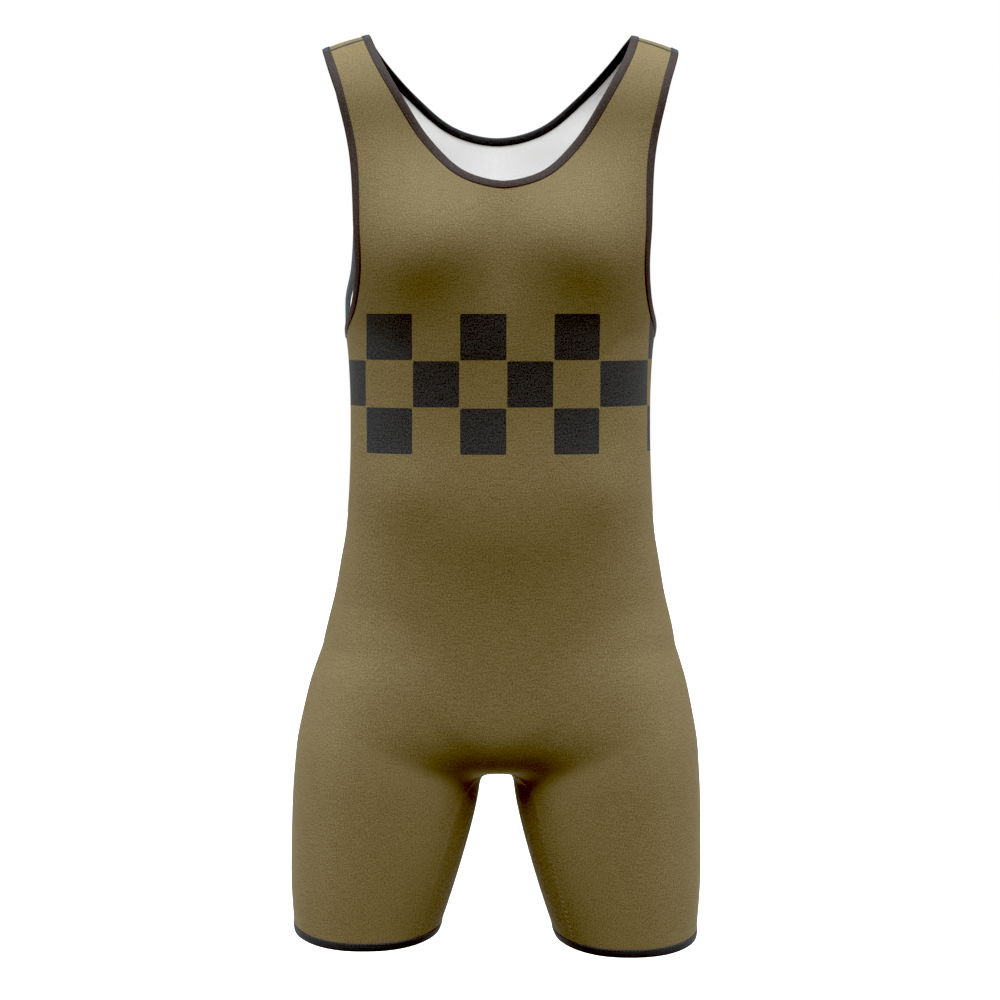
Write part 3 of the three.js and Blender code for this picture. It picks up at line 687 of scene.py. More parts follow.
def make_piece(name, points, faces, materials, inside=None, places=None, sharp=50):
    """A closed mesh object from points in millimetres, faces outward, riding on the body."""
    mesh = bpy.data.meshes.new(name)
    mesh.from_pydata((posed(points) * METRES).tolist(), [], [list(face) for face in faces])
    for material in materials:
        mesh.materials.append(material)
    if inside is not None:
        mesh.polygons.foreach_set("material_index", np.asarray(inside, dtype=np.int32))
    if places is not None:
        corner = np.empty(len(mesh.loops), dtype=np.int32)
        mesh.loops.foreach_get("vertex_index", corner)
        layer = mesh.uv_layers.new(name="cloth")
        layer.data.foreach_set("uv", (np.asarray(places)[corner] * METRES).ravel())
    if signed_volume(mesh) < 0:
        mesh.flip_normals()
    mesh.polygons.foreach_set("use_smooth", np.ones(len(mesh.polygons), dtype=bool))
    mesh.set_sharp_from_angle(angle=np.radians(sharp))
    mesh.update()
    piece = bpy.data.objects.new(name, mesh)
    bpy.context.scene.collection.objects.link(piece)
    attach(piece, BODY)
    return piece


def strip(edge, seam, height, thickness, crown, around=28, squareness=5.0, relief=None):
    """Closed strip between two lines on the figure, and its places.

    Its section is a superellipse: q runs from the seam to the edge as the cosine of the angle and
    the height over the figure as its sine, both to the power 2 / squareness, with a crown in the
    middle. relief adds to the outer height, as a function of length along and of q.
    """
    angle = np.linspace(0, 2 * np.pi, around, endpoint=False)
    cos, sin = np.cos(angle), np.sin(angle)
    q = 0.5 + 0.5 * np.sign(cos) * np.abs(cos) ** (2 / squareness)
    h = np.sign(sin) * np.abs(sin) ** (2 / squareness)
    base = settle(seam[:, None] * (1 - q[None, :, None]) + edge[:, None] * q[None, :, None])
    half = thickness / 2 + crown * (1 - (2 * q - 1) ** 2)
    level = height - thickness / 2 + half * h
    level = np.broadcast_to(level, base.shape[:2]).copy()
    run = lengths_along(edge)
    if relief is not None:
        level += relief(run[:, None], q[None, :]) * np.maximum(h, 0)
    places = np.stack(np.broadcast_arrays(run[:, None], angle[None, :] / (2 * np.pi) * 20), axis=-1)
    return base, outward(base) * level[..., None], places


def tube_faces(count, around, closed):
    """Quads of a skin through a row of closed sections, and its end caps as rows of corners."""
    index = np.arange(count * around).reshape(count, around)
    here = index if closed else index[:-1]
    ahead = np.roll(index, -1, axis=0) if closed else index[1:]
    quads = np.stack([here, np.roll(here, -1, axis=1), np.roll(ahead, -1, axis=1), ahead], axis=-1)
    quads = quads.reshape(-1, 4)
    caps = [] if closed else [index[0][::-1], index[-1]]
    return quads.tolist() + [cap.tolist() for cap in caps]


def thread_bars(starts, ends, start_out, end_out, radius, rise, sides=6, rings=5):
    """Short threads from start to end points: arcs that rise in the middle and dip in at both ends.

    Along a bar t runs from 0 to 1: the centre is straight between its ends plus rise·4t(1-t) outward,
    and the radius is the thread's times the root of 1-(2t-1)⁴.
    """
    t = np.linspace(0, 1, rings)[None, :, None]
    run = (ends - starts)[:, None]
    out = (start_out + end_out)[:, None] / 2
    out = out / np.linalg.norm(out, axis=-1, keepdims=True)
    centre = starts[:, None] + run * t + out * rise * 4 * t * (1 - t)
    aside = np.cross(run, out)
    aside /= np.linalg.norm(aside, axis=-1, keepdims=True)
    thick = radius * np.sqrt(np.maximum(1 - (2 * t - 1) ** 4, 0.1))
    turn = 2 * np.pi * np.arange(sides) / sides
    ring = aside[:, :, None] * np.cos(turn)[:, None] + out[:, :, None] * np.sin(turn)[:, None]
    points = centre[:, :, None] + ring * thick[..., None]
    index = np.arange(points[..., 0].size).reshape(points.shape[:3])
    here, ahead = index[:, :-1], index[:, 1:]
    quads = np.stack([here, ahead, np.roll(ahead, -1, axis=2), np.roll(here, -1, axis=2)], axis=-1)
    caps = np.concatenate([index[:, 0], index[:, -1, ::-1]])
    return points.reshape(-1, 3), quads.reshape(-1, 4).tolist() + caps.tolist()


def running_stitches(line, lift, inside, pitch, length, radius):
    """Bars along a line on the figure, one each pitch, rising outward or inward."""
    total = lengths_along(line)[-1]
    starts = np.arange(pitch / 2, total - length, pitch)
    places = np.stack([starts, starts + length], axis=1).reshape(1, -1)
    on = at_lengths(line[None], places)[0]
    out = outward(on)
    on = on + out * lift
    if inside:
        out = -out
    return thread_bars(on[::2], on[1::2], out[::2], out[1::2], radius, radius * 0.6)


def merged(parts):
    """Points and faces of several thread rows as one."""
    points, faces, start = [], [], 0
    for part_points, part_faces in parts:
        points.append(part_points)
        faces += [[corner + start for corner in face] for face in part_faces]
        start += len(part_points)
    return np.vstack(points), faces


def matched(edge, seam, pace):
    """Two lines with points in pairs, about every pace along the first, a hair short of both ends."""
    lengths = lengths_along(edge)
    count = int(lengths[-1] / pace)
    wanted = np.linspace(0.05, lengths[-1] - 0.05, count + 1)
    place = np.interp(wanted, lengths, np.arange(len(edge)))
    known = np.arange(len(edge))
    return [
        np.stack([np.interp(place, known, column) for column in line.T], axis=1) for line in (edge, seam)
    ]


def across_body(half):
    """A line from the shoulder seam to the centre, run on to the other shoulder."""
    return np.vstack([half, mirrored(half, -1)[-2::-1]])


def round_arm(halves, side):
    """An armhole line from the shoulder seam, down the front, under the arm and up the back."""
    return mirrored(np.vstack([halves["front"], halves["back"][-2::-1]]), side)


def leg_round(pattern, side_name, drop):
    """Ring round a leg at its hem, drop below the hem band's top."""
    front, back = (pattern.inseam[side_name][f][-1] for f in FACES)
    side = pattern.side_seam[side_name][-1]
    steps = STEPS["hem"]
    ring = np.vstack([
        lay_out_hem(front, side, side_name, FACES["front"], steps),
        lay_out_hem(back, side, side_name, FACES["back"], steps)[-2::-1],
        gusset_hem(front, back, side_name, steps)[-2:0:-1],
    ])
    ring[:, 2] = hem_height(side_name, ring[:, 1]) - drop
    return mirrored(settle(ring, level=True), SIDES[side_name])


def inner_leg_line(pattern, face_name):
    """Inner-leg seam of one face, from the left hem over the crotch to the right hem."""
    left, right = (pattern.inseam[s][face_name] for s in SIDES)
    return np.vstack([left[::-1], mirrored(right, -1)[1:]])


# Band of printed squares: its top, how it is drawn in by x, and a square's sizes
BAND_TOP = -248.0
DRAWN_IN = {"From Min": 104.0, "From Max": 132.0, "To Max": 9.0}
SQUARE = {"wide": 41.1, "tall": 41.3, "start": 2.7, "gap": 0.8, "corner": 1.6, "rows": 3}


class Finish:
    """One material's nodes, with short ways to add the kinds that cloth needs."""

    def __init__(self, name, roughness, specular):
        self.material = bpy.data.materials.new(name)
        self.material.use_nodes = True
        self.tree = self.material.node_tree
        self.tree.nodes.clear()
        self.shader = self.add("ShaderNodeBsdfPrincipled")
        self.shader.inputs["Roughness"].default_value = roughness
        self.shader.inputs["Specular IOR Level"].default_value = specular
        output = self.add("ShaderNodeOutputMaterial")
        self.tree.links.new(self.shader.outputs[0], output.inputs["Surface"])

    def add(self, kind, inputs=None, **settings):
        """A node of one kind, with its settings and its inputs by socket."""
        node = self.tree.nodes.new(kind)
        for name, value in settings.items():
            setattr(node, name, value)
        for socket, value in (inputs or {}).items():
            self.put(node.inputs[socket], value)
        return node

    def put(self, socket, value):
        """Links a socket or sets its value."""
        if isinstance(value, bpy.types.NodeSocket):
            self.tree.links.new(value, socket)
        else:
            socket.default_value = value

    def math(self, operation, *values, clamp=False):
        """One sum of sockets and numbers."""
        inputs = dict(enumerate(values))
        return self.add("ShaderNodeMath", inputs, operation=operation, use_clamp=clamp).outputs[0]

    def blended(self, first, second, share):
        """Sum of two sockets, of which the second has the share."""
        rest = self.math("MULTIPLY", first, 1 - share)
        return self.math("ADD", rest, self.math("MULTIPLY", second, share))

    def mixed(self, share, first, second):
        """Colour that goes from first to second with the share."""
        inputs = {0: share, 6: first, 7: second}
        return self.add("ShaderNodeMix", inputs, data_type="RGBA").outputs[2]

    def shaded(self, share, colour, dark, light):
        """One colour, from its dark to its light shade with the share."""
        shades = [tuple(part * factor for part in colour) + (1.0,) for factor in (dark, light)]
        return self.mixed(share, *shades)

    def vector(self, x, y, z=0.0):
        """Vector of three sockets or numbers."""
        return self.add("ShaderNodeCombineXYZ", {0: x, 1: y, 2: z}).outputs[0]

    def noise(self, vector, scale, detail=2.0, roughness=0.5):
        """Noise from 0 to 1."""
        inputs = {"Vector": vector, "Scale": scale, "Detail": detail, "Roughness": roughness}
        return self.add("ShaderNodeTexNoise", inputs).outputs[0]

    def cloth_places(self):
        """The piece's own places across and down its cloth, in millimetres."""
        flat = self.add("ShaderNodeUVMap", uv_map="cloth").outputs[0]
        parts = self.add("ShaderNodeSeparateXYZ", {0: flat}).outputs
        return self.math("MULTIPLY", parts[0], 1000.0), self.math("MULTIPLY", parts[1], 1000.0)

    def body_places(self):
        """Object coordinates in millimetres."""
        place = self.add("ShaderNodeTexCoord").outputs["Object"]
        parts = self.add("ShaderNodeSeparateXYZ", {0: place}).outputs
        return [self.math("MULTIPLY", part, 1000.0) for part in parts]

    def surface(self, colour, relief, distance, strength):
        """Colour and bumps on the shader, and the material; the distance is in millimetres."""
        self.put(self.shader.inputs["Base Color"], colour)
        inputs = {"Height": relief, "Distance": distance * METRES, "Strength": strength}
        self.put(self.shader.inputs["Normal"], self.add("ShaderNodeBump", inputs).outputs[0])
        return self.material


def knit_height(finish, across, down, wale, course):
    """Height of a knit: rows of small V shapes, from 0 to 1.

    The sine of the distance down over a course, shifted towards the sides of each wale, times a
    sine across the wale.
    """
    half = finish.math("PINGPONG", across, wale / 2)
    slant = finish.math("MULTIPLY", half, 1.4 * course / wale)
    phase = finish.math("MULTIPLY", finish.math("ADD", down, slant), np.pi / course)
    rows = finish.math("ABSOLUTE", finish.math("SINE", phase))
    ribs = finish.math("SINE", finish.math("MULTIPLY", half, 2 * np.pi / wale))
    return finish.math("MULTIPLY", rows, finish.math("MULTIPLY_ADD", ribs, 0.5, 0.5))


def square_share(finish, across, height):
    """1 inside the printed squares and 0 outside: rounded squares whose column and row numbers add up odd."""
    columns = finish.math("DIVIDE", finish.math("SUBTRACT", across, SQUARE["start"]), SQUARE["wide"])
    rows = finish.math("DIVIDE", finish.math("SUBTRACT", BAND_TOP, height), SQUARE["tall"])
    column, row = finish.math("FLOOR", columns), finish.math("FLOOR", rows)
    odd = finish.math("FLOORED_MODULO", finish.math("ADD", column, row), 2.0)
    off = []
    for place, number, size in ((columns, column, SQUARE["wide"]), (rows, row, SQUARE["tall"])):
        middle = finish.math("ABSOLUTE", finish.math("SUBTRACT", finish.math("SUBTRACT", place, number), 0.5))
        reach = size / 2 - SQUARE["gap"] / 2 - SQUARE["corner"]
        beyond = finish.math("SUBTRACT", finish.math("MULTIPLY", middle, size), reach)
        off.append(finish.math("MAXIMUM", beyond, 0.0))
    corner = finish.math("SQRT", finish.math("ADD", *(finish.math("MULTIPLY", o, o) for o in off)))
    inside = finish.math("MULTIPLY_ADD", corner, -3.0, 3.0 * SQUARE["corner"] + 0.5, clamp=True)
    in_rows = finish.math("COMPARE", row, (SQUARE["rows"] - 1) / 2, SQUARE["rows"] / 2)
    return finish.math("MULTIPLY", finish.math("MULTIPLY", odd, inside), in_rows)


def printed_cloth(colours):
    """Knit with the band of squares: grain of noise, faint ribs across, and small V stitches.

    The squares are drawn in a little beside the wearer's left, by a smooth step of x.
    """
    finish = Finish("printed_cloth", roughness=0.7, specular=0.1)
    across, down = finish.cloth_places()
    x, _, height = finish.body_places()
    inputs = {"Value": x, **DRAWN_IN}
    drawn = finish.add("ShaderNodeMapRange", inputs, interpolation_type="SMOOTHSTEP").outputs[0]
    grain = finish.noise(finish.vector(across, down), 0.8, detail=3.0, roughness=0.7)
    ribs = finish.noise(finish.vector(finish.math("MULTIPLY", across, 0.12), down), 0.7, detail=1.0)
    tone = finish.blended(grain, ribs, 0.14)
    share = finish.math("MULTIPLY_ADD", tone, 3.6, -1.3, clamp=True)
    ground = finish.shaded(share, colours.cloth, 0.66, 1.36)
    dark = finish.shaded(share, colours.squares, 0.62, 1.4)
    printed = square_share(finish, finish.math("SUBTRACT", across, drawn), height)
    knit = knit_height(finish, across, down, wale=0.9, course=0.75)
    return finish.surface(finish.mixed(printed, ground, dark), finish.blended(knit, tone, 0.65), 0.22, 0.7)


def inner_cloth(colours):
    """Pale inside face of the knit, with ribs down it and a soft grain."""
    finish = Finish("inner_cloth", roughness=0.8, specular=0.1)
    across, down = finish.cloth_places()
    grain = finish.noise(finish.vector(across, down), 0.5, detail=2.0)
    knit = knit_height(finish, across, down, wale=1.0, course=0.8)
    return finish.surface(finish.shaded(grain, colours.inside, 0.94, 1.04), knit, 0.15, 0.5)


def binding_tape(colours):
    """Charcoal binding with fine fibres along it, with painted shade making it near black on its inner side
    and behind.

    Behind is past a plane from the shoulder seam down to the back of the underarm.
    """
    finish = Finish("binding_tape", roughness=0.65, specular=0.1)
    run, round_it = finish.cloth_places()
    fibres = finish.noise(finish.vector(finish.math("MULTIPLY", run, 0.12), round_it), 2.2, detail=3.0)
    grain = finish.noise(finish.vector(run, round_it), 1.1, detail=2.0)
    tone = finish.blended(fibres, grain, 0.4)
    share = finish.math("MULTIPLY_ADD", tone, 2.4, -0.7, clamp=True)
    outer = finish.shaded(share, colours.binding, 0.66, 1.36)
    # Painted shade: a near black made from the hem band's colour, laid on the tape's inner side (inward) and
    # on its part behind the shoulders (behind)
    inner = finish.shaded(share, colours.hem, 1.2, 2.0)
    inward = finish.math("MULTIPLY_ADD", round_it, 1.5, -13.2, clamp=True)
    _, y, z = finish.body_places()
    behind = finish.math("ADD", finish.math("MULTIPLY_ADD", z, 0.18, 34.6), y, clamp=True)
    painted_shade = finish.math("MAXIMUM", inward, behind)
    return finish.surface(finish.mixed(painted_shade, outer, inner), tone, 0.18, 0.8)


def hem_tape(colours):
    """Dark elastic of the hem bands: fine ribs across it."""
    finish = Finish("hem_tape", roughness=0.7, specular=0.12)
    run, round_it = finish.cloth_places()
    grain = finish.noise(finish.vector(run, round_it), 1.0, detail=3.0)
    ribs = finish.math("ABSOLUTE", finish.math("SINE", finish.math("MULTIPLY", run, np.pi / 1.1)))
    tone = finish.blended(grain, ribs, 0.3)
    return finish.surface(finish.shaded(tone, colours.hem, 0.7, 1.3), tone, 0.15, 0.7)


def thread(name, colour):
    """Twisted polyester thread: fine noise on Object coordinates."""
    finish = Finish(name, roughness=0.5, specular=0.3)
    x, y, z = finish.body_places()
    twist = finish.noise(finish.vector(x, y, z), 3.0, detail=2.0)
    return finish.surface(finish.shaded(twist, colour, 0.75, 1.25), twist, 0.08, 0.6)


def floor_paint():
    """Pale matt floor with the faintest mottling."""
    finish = Finish("floor_paint", roughness=0.9, specular=0.05)
    x, y, _ = finish.body_places()
    mottle = finish.noise(finish.vector(x, y), 0.004, detail=2.0)
    colour = finish.mixed(mottle, (0.86, 0.86, 0.86, 1.0), (0.9, 0.9, 0.9, 1.0))
    finish.put(finish.shader.inputs["Base Color"], colour)
    return finish.material


MAKERS = {
    "printed_cloth": printed_cloth,
    "inner_cloth": inner_cloth,
    "binding_tape": binding_tape,
    "hem_tape": hem_tape,
    # The shoulder seams' strips: near black, painted shadow of the seam grooves
    "shoulder_seam_shadow": lambda colours: thread("shoulder_seam_shadow", colours.hem),
    "olive_thread": lambda colours: thread("olive_thread", colours.cloth),
    "dark_thread": lambda colours: thread("dark_thread", colours.binding),
    "pale_thread": lambda colours: thread("pale_thread", colours.inside),
}


def finish_named(context, name):
    """A material of the singlet, made the first time it is asked for."""
    return bpy.data.materials.get(name) or MAKERS[name](context.scene.singlet_colours)


def length_setting(label, description, default, least, most):
    """A length setting, in metres."""
    return bpy.props.FloatProperty(
        name=label, description=description, default=default, min=least, max=most,
        unit="LENGTH", subtype="DISTANCE", precision=5,
    )


def colour_setting(label, description, *default):
    """A colour setting."""
    return bpy.props.FloatVectorProperty(
        name=label, description=description, default=default, min=0, max=1, size=3, subtype="COLOR"
    )


class SingletSizes(bpy.types.PropertyGroup):
    """Sizes of the cloth and its trims."""

    cloth_wall: length_setting("Cloth", "Thickness of the knit", 0.001, 0.0004, 0.0014)
    tuck: length_setting("Tuck", "How far cloth runs into a binding", 0.0012, 0, 0.003)
    binding_width: length_setting("Binding", "Width of the folded binding", 0.0076, 0.005, 0.012)
    hem_height: length_setting("Hem band", "Height of the band round each leg", 0.0078, 0.005, 0.012)
    seam_width: length_setting("Flat seam", "Width of the inner-leg seams", 0.0062, 0.004, 0.009)
    stitch_pitch: length_setting("Stitch", "Distance between stitches of the flat seams", 0.0047, 0.002, 0.006)


class SingletColours(bpy.types.PropertyGroup):
    """Colours of the cloth and its trims."""

    cloth: colour_setting("Cloth", "Ground colour of the knit", 0.129, 0.1085, 0.0656)
    squares: colour_setting("Squares", "Colour of the printed squares", 0.0375, 0.044, 0.0478)
    inside: colour_setting("Inside", "Colour of the knit's inner face", 0.85, 0.85, 0.85)
    binding: colour_setting("Binding", "Colour of the neck and armhole bindings", 0.0405, 0.0385, 0.04)
    # The hem colour is also the base of the painted shade on the bindings' inner side and back, and of the
    # shoulder seams' painted shadow
    hem: colour_setting("Hem band", "Colour of the bands round the legs", 0.028, 0.034, 0.0385)


@lru_cache(maxsize=1)
def pattern_for(binding, tuck):
    """The seam lines for one binding width and tuck, in millimetres."""
    return Pattern(binding, tuck)


def current_pattern(context):
    """The seam lines for the present settings."""
    sizes = context.scene.singlet_sizes
    return pattern_for(sizes.binding_width / METRES, sizes.tuck / METRES)


# Sections of the strips: height of the outside over the figure, thickness, and crown in the middle
FOLD = {"height": 0.4, "thickness": 2.2, "crown": 0.35}
HEM_FOLD = {"height": 0.4, "thickness": 2.2, "crown": 0.3, "squareness": 6.0}
FLAT_SEAM = {"height": 0.34, "thickness": 0.95, "crown": 0.12, "squareness": 3.2, "around": 24}
# The shoulder seams are near-black strips: painted shadow of the seam grooves
SHOULDER_SEAM = {"height": 0.5, "thickness": 0.9, "crown": 0.1, "squareness": 2.6, "around": 12}
SHOULDER_SEAM_HALF = 1.5

# Running stitches, and their rows: the share across from the seam to the edge, and whether inside
STITCH = {"pitch": 3.2, "length": 2.2, "radius": 0.2}
HEM_STITCH = {"pitch": 3.4, "length": 2.3, "radius": 0.2}
BINDING_ROWS = ((0.2, False), (0.3, True), (0.62, True))
HEM_ROWS = ((0.16, False), (0.16, True))
CHANNEL = {"row": 0.2, "wide": 0.07, "deep": 0.16, "least": 0.7}

# Flat seam: its rows of stitch holes, the relief round them, and its crossing threads
HOLE_ROWS = {"places": (0.26, 0.74), "wide": 0.1, "deep": 0.26, "swell": 0.1}
MIDDLE_CHANNEL = {"wide": 0.08, "deep": 0.1}
LOOPER = {"radius": 0.24, "rise": 0.2}
LOOPER_LIFT = 0.42
LOOPER_REACH = 0.25


def fold_level(q, fold, inside):
    """Height of a folded strip's outer or inner face over the figure at q across it."""
    half = fold["thickness"] / 2 + fold["crown"] * (1 - (2 * q - 1) ** 2)
    return fold["height"] - fold["thickness"] / 2 + (-half if inside else half)


def laid_strip(name, edge, seam, fold, material, closed=False, relief=None):
    """A strip piece between two lines of paired points."""
    base, lift, places = strip(edge, seam, relief=relief, **fold)
    out = lift + outward(base) * creased(base)[..., None]
    points = (base + out).reshape(-1, 3)
    faces = tube_faces(base.shape[0], base.shape[1], closed)
    return make_piece(name, points, faces, [material], places=places.reshape(-1, 2), sharp=70)


def stitched(edge, seam, rows, stitch, fold):
    """Rows of running stitches on a folded strip: each row is its q across and whether it is inside."""
    parts = []
    for q, inside in rows:
        line = settle(seam * (1 - q) + edge * q)
        parts.append(running_stitches(line, fold_level(q, fold, inside), inside, **stitch))
    return merged(parts)


def add_binding(context, name, edge, seam, node):
    """A folded binding with its stitches, in place of its CAD node."""
    edge, seam = matched(edge, seam, STRIP_PACE)
    tape = finish_named(context, "binding_tape")
    piece = laid_strip(name, edge, seam, FOLD, tape, relief=stitch_channel)
    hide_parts(node)
    points, faces = stitched(edge, seam, BINDING_ROWS, STITCH, FOLD)
    make_piece(name + "_stitches", points, faces, [finish_named(context, "dark_thread")])


def stitch_channel(run, q):
    """The stitches' pull on a binding's outside: a shallow channel along their row, deeper at each."""
    pull = CHANNEL["least"] + (1 - CHANNEL["least"]) * np.cos(2 * np.pi * run / STITCH["pitch"])
    return -CHANNEL["deep"] * pull * bell(q - CHANNEL["row"], CHANNEL["wide"])


class SINGLET_OT_neck_bindings(bpy.types.Operator):
    """Adds the front and back neck bindings"""

    bl_idname = "singlet.neck_bindings"
    bl_label = "Neck bindings"

    def execute(self, context):
        pattern = current_pattern(context)
        for face_name in FACES:
            edge, seam = across_body(pattern.neck[face_name]), across_body(pattern.neck_seam[face_name])
            add_binding(context, f"neck_fold_{face_name}", edge, seam, f"neck_binding_{face_name}")
        return {"FINISHED"}


class SINGLET_OT_armhole_bindings(bpy.types.Operator):
    """Adds the two armhole bindings"""

    bl_idname = "singlet.armhole_bindings"
    bl_label = "Armhole bindings"

    def execute(self, context):
        pattern = current_pattern(context)
        for side_name, side in SIDES.items():
            edge, seam = round_arm(pattern.armhole, side), round_arm(pattern.armhole_seam, side)
            add_binding(context, f"armhole_fold_{side_name}", edge, seam, f"armhole_binding_{side_name}")
        return {"FINISHED"}


class SINGLET_OT_hem_bands(bpy.types.Operator):
    """Adds the band round each leg"""

    bl_idname = "singlet.hem_bands"
    bl_label = "Hem bands"

    def execute(self, context):
        pattern = current_pattern(context)
        height = context.scene.singlet_sizes.hem_height / METRES
        tape = finish_named(context, "hem_tape")
        for side_name in SIDES:
            top = leg_round(pattern, side_name, 0.0)
            bottom = leg_round(pattern, side_name, height)
            piece = laid_strip(f"hem_fold_{side_name}", bottom, top, HEM_FOLD, tape, closed=True)
            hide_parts(f"hem_band_{side_name}")
            points, faces = stitched(bottom, top, HEM_ROWS, HEM_STITCH, HEM_FOLD)
            dark = finish_named(context, "dark_thread")
            make_piece(f"hem_stitches_{side_name}", points, faces, [dark])
        return {"FINISHED"}


def flat_seam_relief(pitch):
    """Relief of a flat seam: bumps between stitch holes along two rows, and a low channel between."""
    def relief(run, q):
        beat = np.cos(2 * np.pi * run / pitch)
        rows = sum(bell(q - place, HOLE_ROWS["wide"]) for place in HOLE_ROWS["places"])
        holes = HOLE_ROWS["deep"] * rows * np.maximum(-beat, 0) ** 2
        swells = HOLE_ROWS["swell"] * rows * np.maximum(beat, 0)
        return swells - holes - MIDDLE_CHANNEL["deep"] * bell(q - 0.5, MIDDLE_CHANNEL["wide"])
    return relief


def crossing_threads(line, width, pitch):
    """Looper threads of a flat seam: bars that cross from one row of holes to the other and back."""
    count = int(lengths_along(line)[-1] / pitch)
    at = (np.arange(count) + 0.5) * pitch
    rows = []
    for shift, side in ((0.0, -1), (0.5 * pitch, 1)):
        on = at_lengths(line[None], (at + shift)[None])[0]
        ahead = at_lengths(line[None], (at + shift + 0.5)[None])[0]
        out = outward(on)
        aside = np.cross(ahead - on, out)
        aside /= np.linalg.norm(aside, axis=1, keepdims=True)
        hole = settle(on + side * LOOPER_REACH * width * aside)
        rows.append((hole + out * LOOPER_LIFT, out))
    (left, left_out), (right, right_out) = rows
    there = thread_bars(left, right, left_out, right_out, **LOOPER)
    back = thread_bars(right[:-1], left[1:], right_out[:-1], left_out[1:], **LOOPER)
    return merged([there, back])


class SINGLET_OT_flat_seams(bpy.types.Operator):
    """Adds the flat seams of the inner legs, front and back"""

    bl_idname = "singlet.flat_seams"
    bl_label = "Flat seams"

    def execute(self, context):
        pattern = current_pattern(context)
        sizes = context.scene.singlet_sizes
        width, pitch = sizes.seam_width / METRES, sizes.stitch_pitch / METRES
        cloth, olive = finish_named(context, "printed_cloth"), finish_named(context, "olive_thread")
        for face_name in FACES:
            line = evenly(inner_leg_line(pattern, face_name), STEPS["flat_seam"])
            edge, seam = moved_sideways(line, width / 2), moved_sideways(line, -width / 2)
            relief = flat_seam_relief(pitch)
            laid_strip(f"flat_seam_{face_name}", edge, seam, FLAT_SEAM, cloth, relief=relief)
            points, faces = crossing_threads(line, width, pitch)
            make_piece(f"flat_seam_threads_{face_name}", points, faces, [olive])
        return {"FINISHED"}


class SINGLET_OT_shoulder_seams(bpy.types.Operator):
    """Adds the two shoulder seams, as raised strips whose near-black colour is painted shadow of the seams'
    grooves
    """

    bl_idname = "singlet.shoulder_seams"
    bl_label = "Shoulder seams"

    def execute(self, context):
        pattern = current_pattern(context)
        ends = np.stack([pattern.neck_seam["front"][0], pattern.armhole_seam["front"][0]])
        line = settle(evenly(ends, STEPS["shoulder"]))
        halves = [moved_sideways(line, SHOULDER_SEAM_HALF), moved_sideways(line, -SHOULDER_SEAM_HALF)]
        # Painted shadow: the strips are near black to stand for the shade in the seam grooves
        dark = finish_named(context, "shoulder_seam_shadow")
        for side_name, side in SIDES.items():
            edge, seam = (mirrored(half, side) for half in halves)
            laid_strip(f"shoulder_seam_{side_name}", edge, seam, SHOULDER_SEAM, dark)
        return {"FINISHED"}


def gusset_grid(pattern, tuck):
    """Grid of the inner-leg gusset, from the left hem over the crotch to the right hem."""
    steps, across = STEPS["inseam"], STEPS["gusset"]
    legs = []
    for side_name, side in SIDES.items():
        front, back = (evenly(pattern.inseam[side_name][f], steps) for f in FACES)
        u = np.linspace(0, 1, across + 1)[None, :, None]
        rows = settle(front[:, None] * (1 - u) + back[:, None] * u)
        rows[-1] = gusset_hem(front[-1], back[-1], side_name, across)
        rows, from_front, from_back = led_in_rows(rows)
        rows[:-1, 1:-1] = settle(rows[:-1, 1:-1])
        sunk = turned_in(from_front) + turned_in(from_back)
        rows[-1, :, 2] -= tuck
        rows[-1] = settle(rows[-1], level=True)
        legs.append((mirrored(rows, side), sunk))
    (left, left_sunk), (right, right_sunk) = legs
    return np.vstack([left[::-1], right[1:]]), np.vstack([left_sunk[::-1], right_sunk[1:]])


class SINGLET_OT_gusset(bpy.types.Operator):
    """Adds the inner-leg gusset"""

    bl_idname = "singlet.gusset"
    bl_label = "Inner-leg gusset"

    def execute(self, context):
        sizes = context.scene.singlet_sizes
        tuck, thickness = sizes.tuck / METRES, sizes.cloth_wall / METRES
        grid, sunk = gusset_grid(current_pattern(context), tuck)
        open_inner = np.ones(len(grid) - 1, dtype=bool)
        points, faces, inside, places = wall(grid, sunk, thickness, 1, False, open_inner)
        materials = [finish_named(context, "printed_cloth"), finish_named(context, "inner_cloth")]
        piece = make_piece("gusset_cloth", points, faces, materials, inside, places)
        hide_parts("inner_leg_gusset")
        return {"FINISHED"}


class SINGLET_OT_panels(bpy.types.Operator):
    """Adds the front and back panels"""

    bl_idname = "singlet.panels"
    bl_label = "Front and back panels"

    def execute(self, context):
        pattern = current_pattern(context)
        sizes = context.scene.singlet_sizes
        tuck, thickness = sizes.tuck / METRES, sizes.cloth_wall / METRES
        materials = [finish_named(context, "printed_cloth"), finish_named(context, "inner_cloth")]
        row = np.arange(ROWS)
        rimmed = (row < STEPS["neck"]) | (row >= STEPS["neck"] + STEPS["centre"])
        for face_name in FACES:
            halves = []
            for side_name, side in SIDES.items():
                grid, sunk = half_panel(pattern, face_name, side_name, tuck)
                turned = (face_name == "back") != (side < 0)
                halves.append(wall(grid, sunk, thickness, side, turned, rimmed))
            points, faces, inside, places = joined(halves)
            piece = make_piece(f"{face_name}_cloth", points, faces, materials, inside, places)
            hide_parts(f"{face_name}_panel")
        return {"FINISHED"}


# The stage, in metres
FLOOR = {"height": -1.3, "reach": 12, "count": 25}
CAMERA = {"place": (-0.0817, -2.5987, -0.240), "aim": (0.0, 0.0, -0.418), "lens": 103.0, "sensor": 36}

# Soft far lights: degrees round from the front and above the floor, strength, and spread in degrees
LIGHTS = table(
    "azimuth height strength spread",
    (0, 54, 2.85, 50),
    (60, 54, 3.9, 50),
    (-60, 54, 3.9, 50),
    (100, 2, 2.2, 50),
    (-100, 2, 2.2, 50),
)

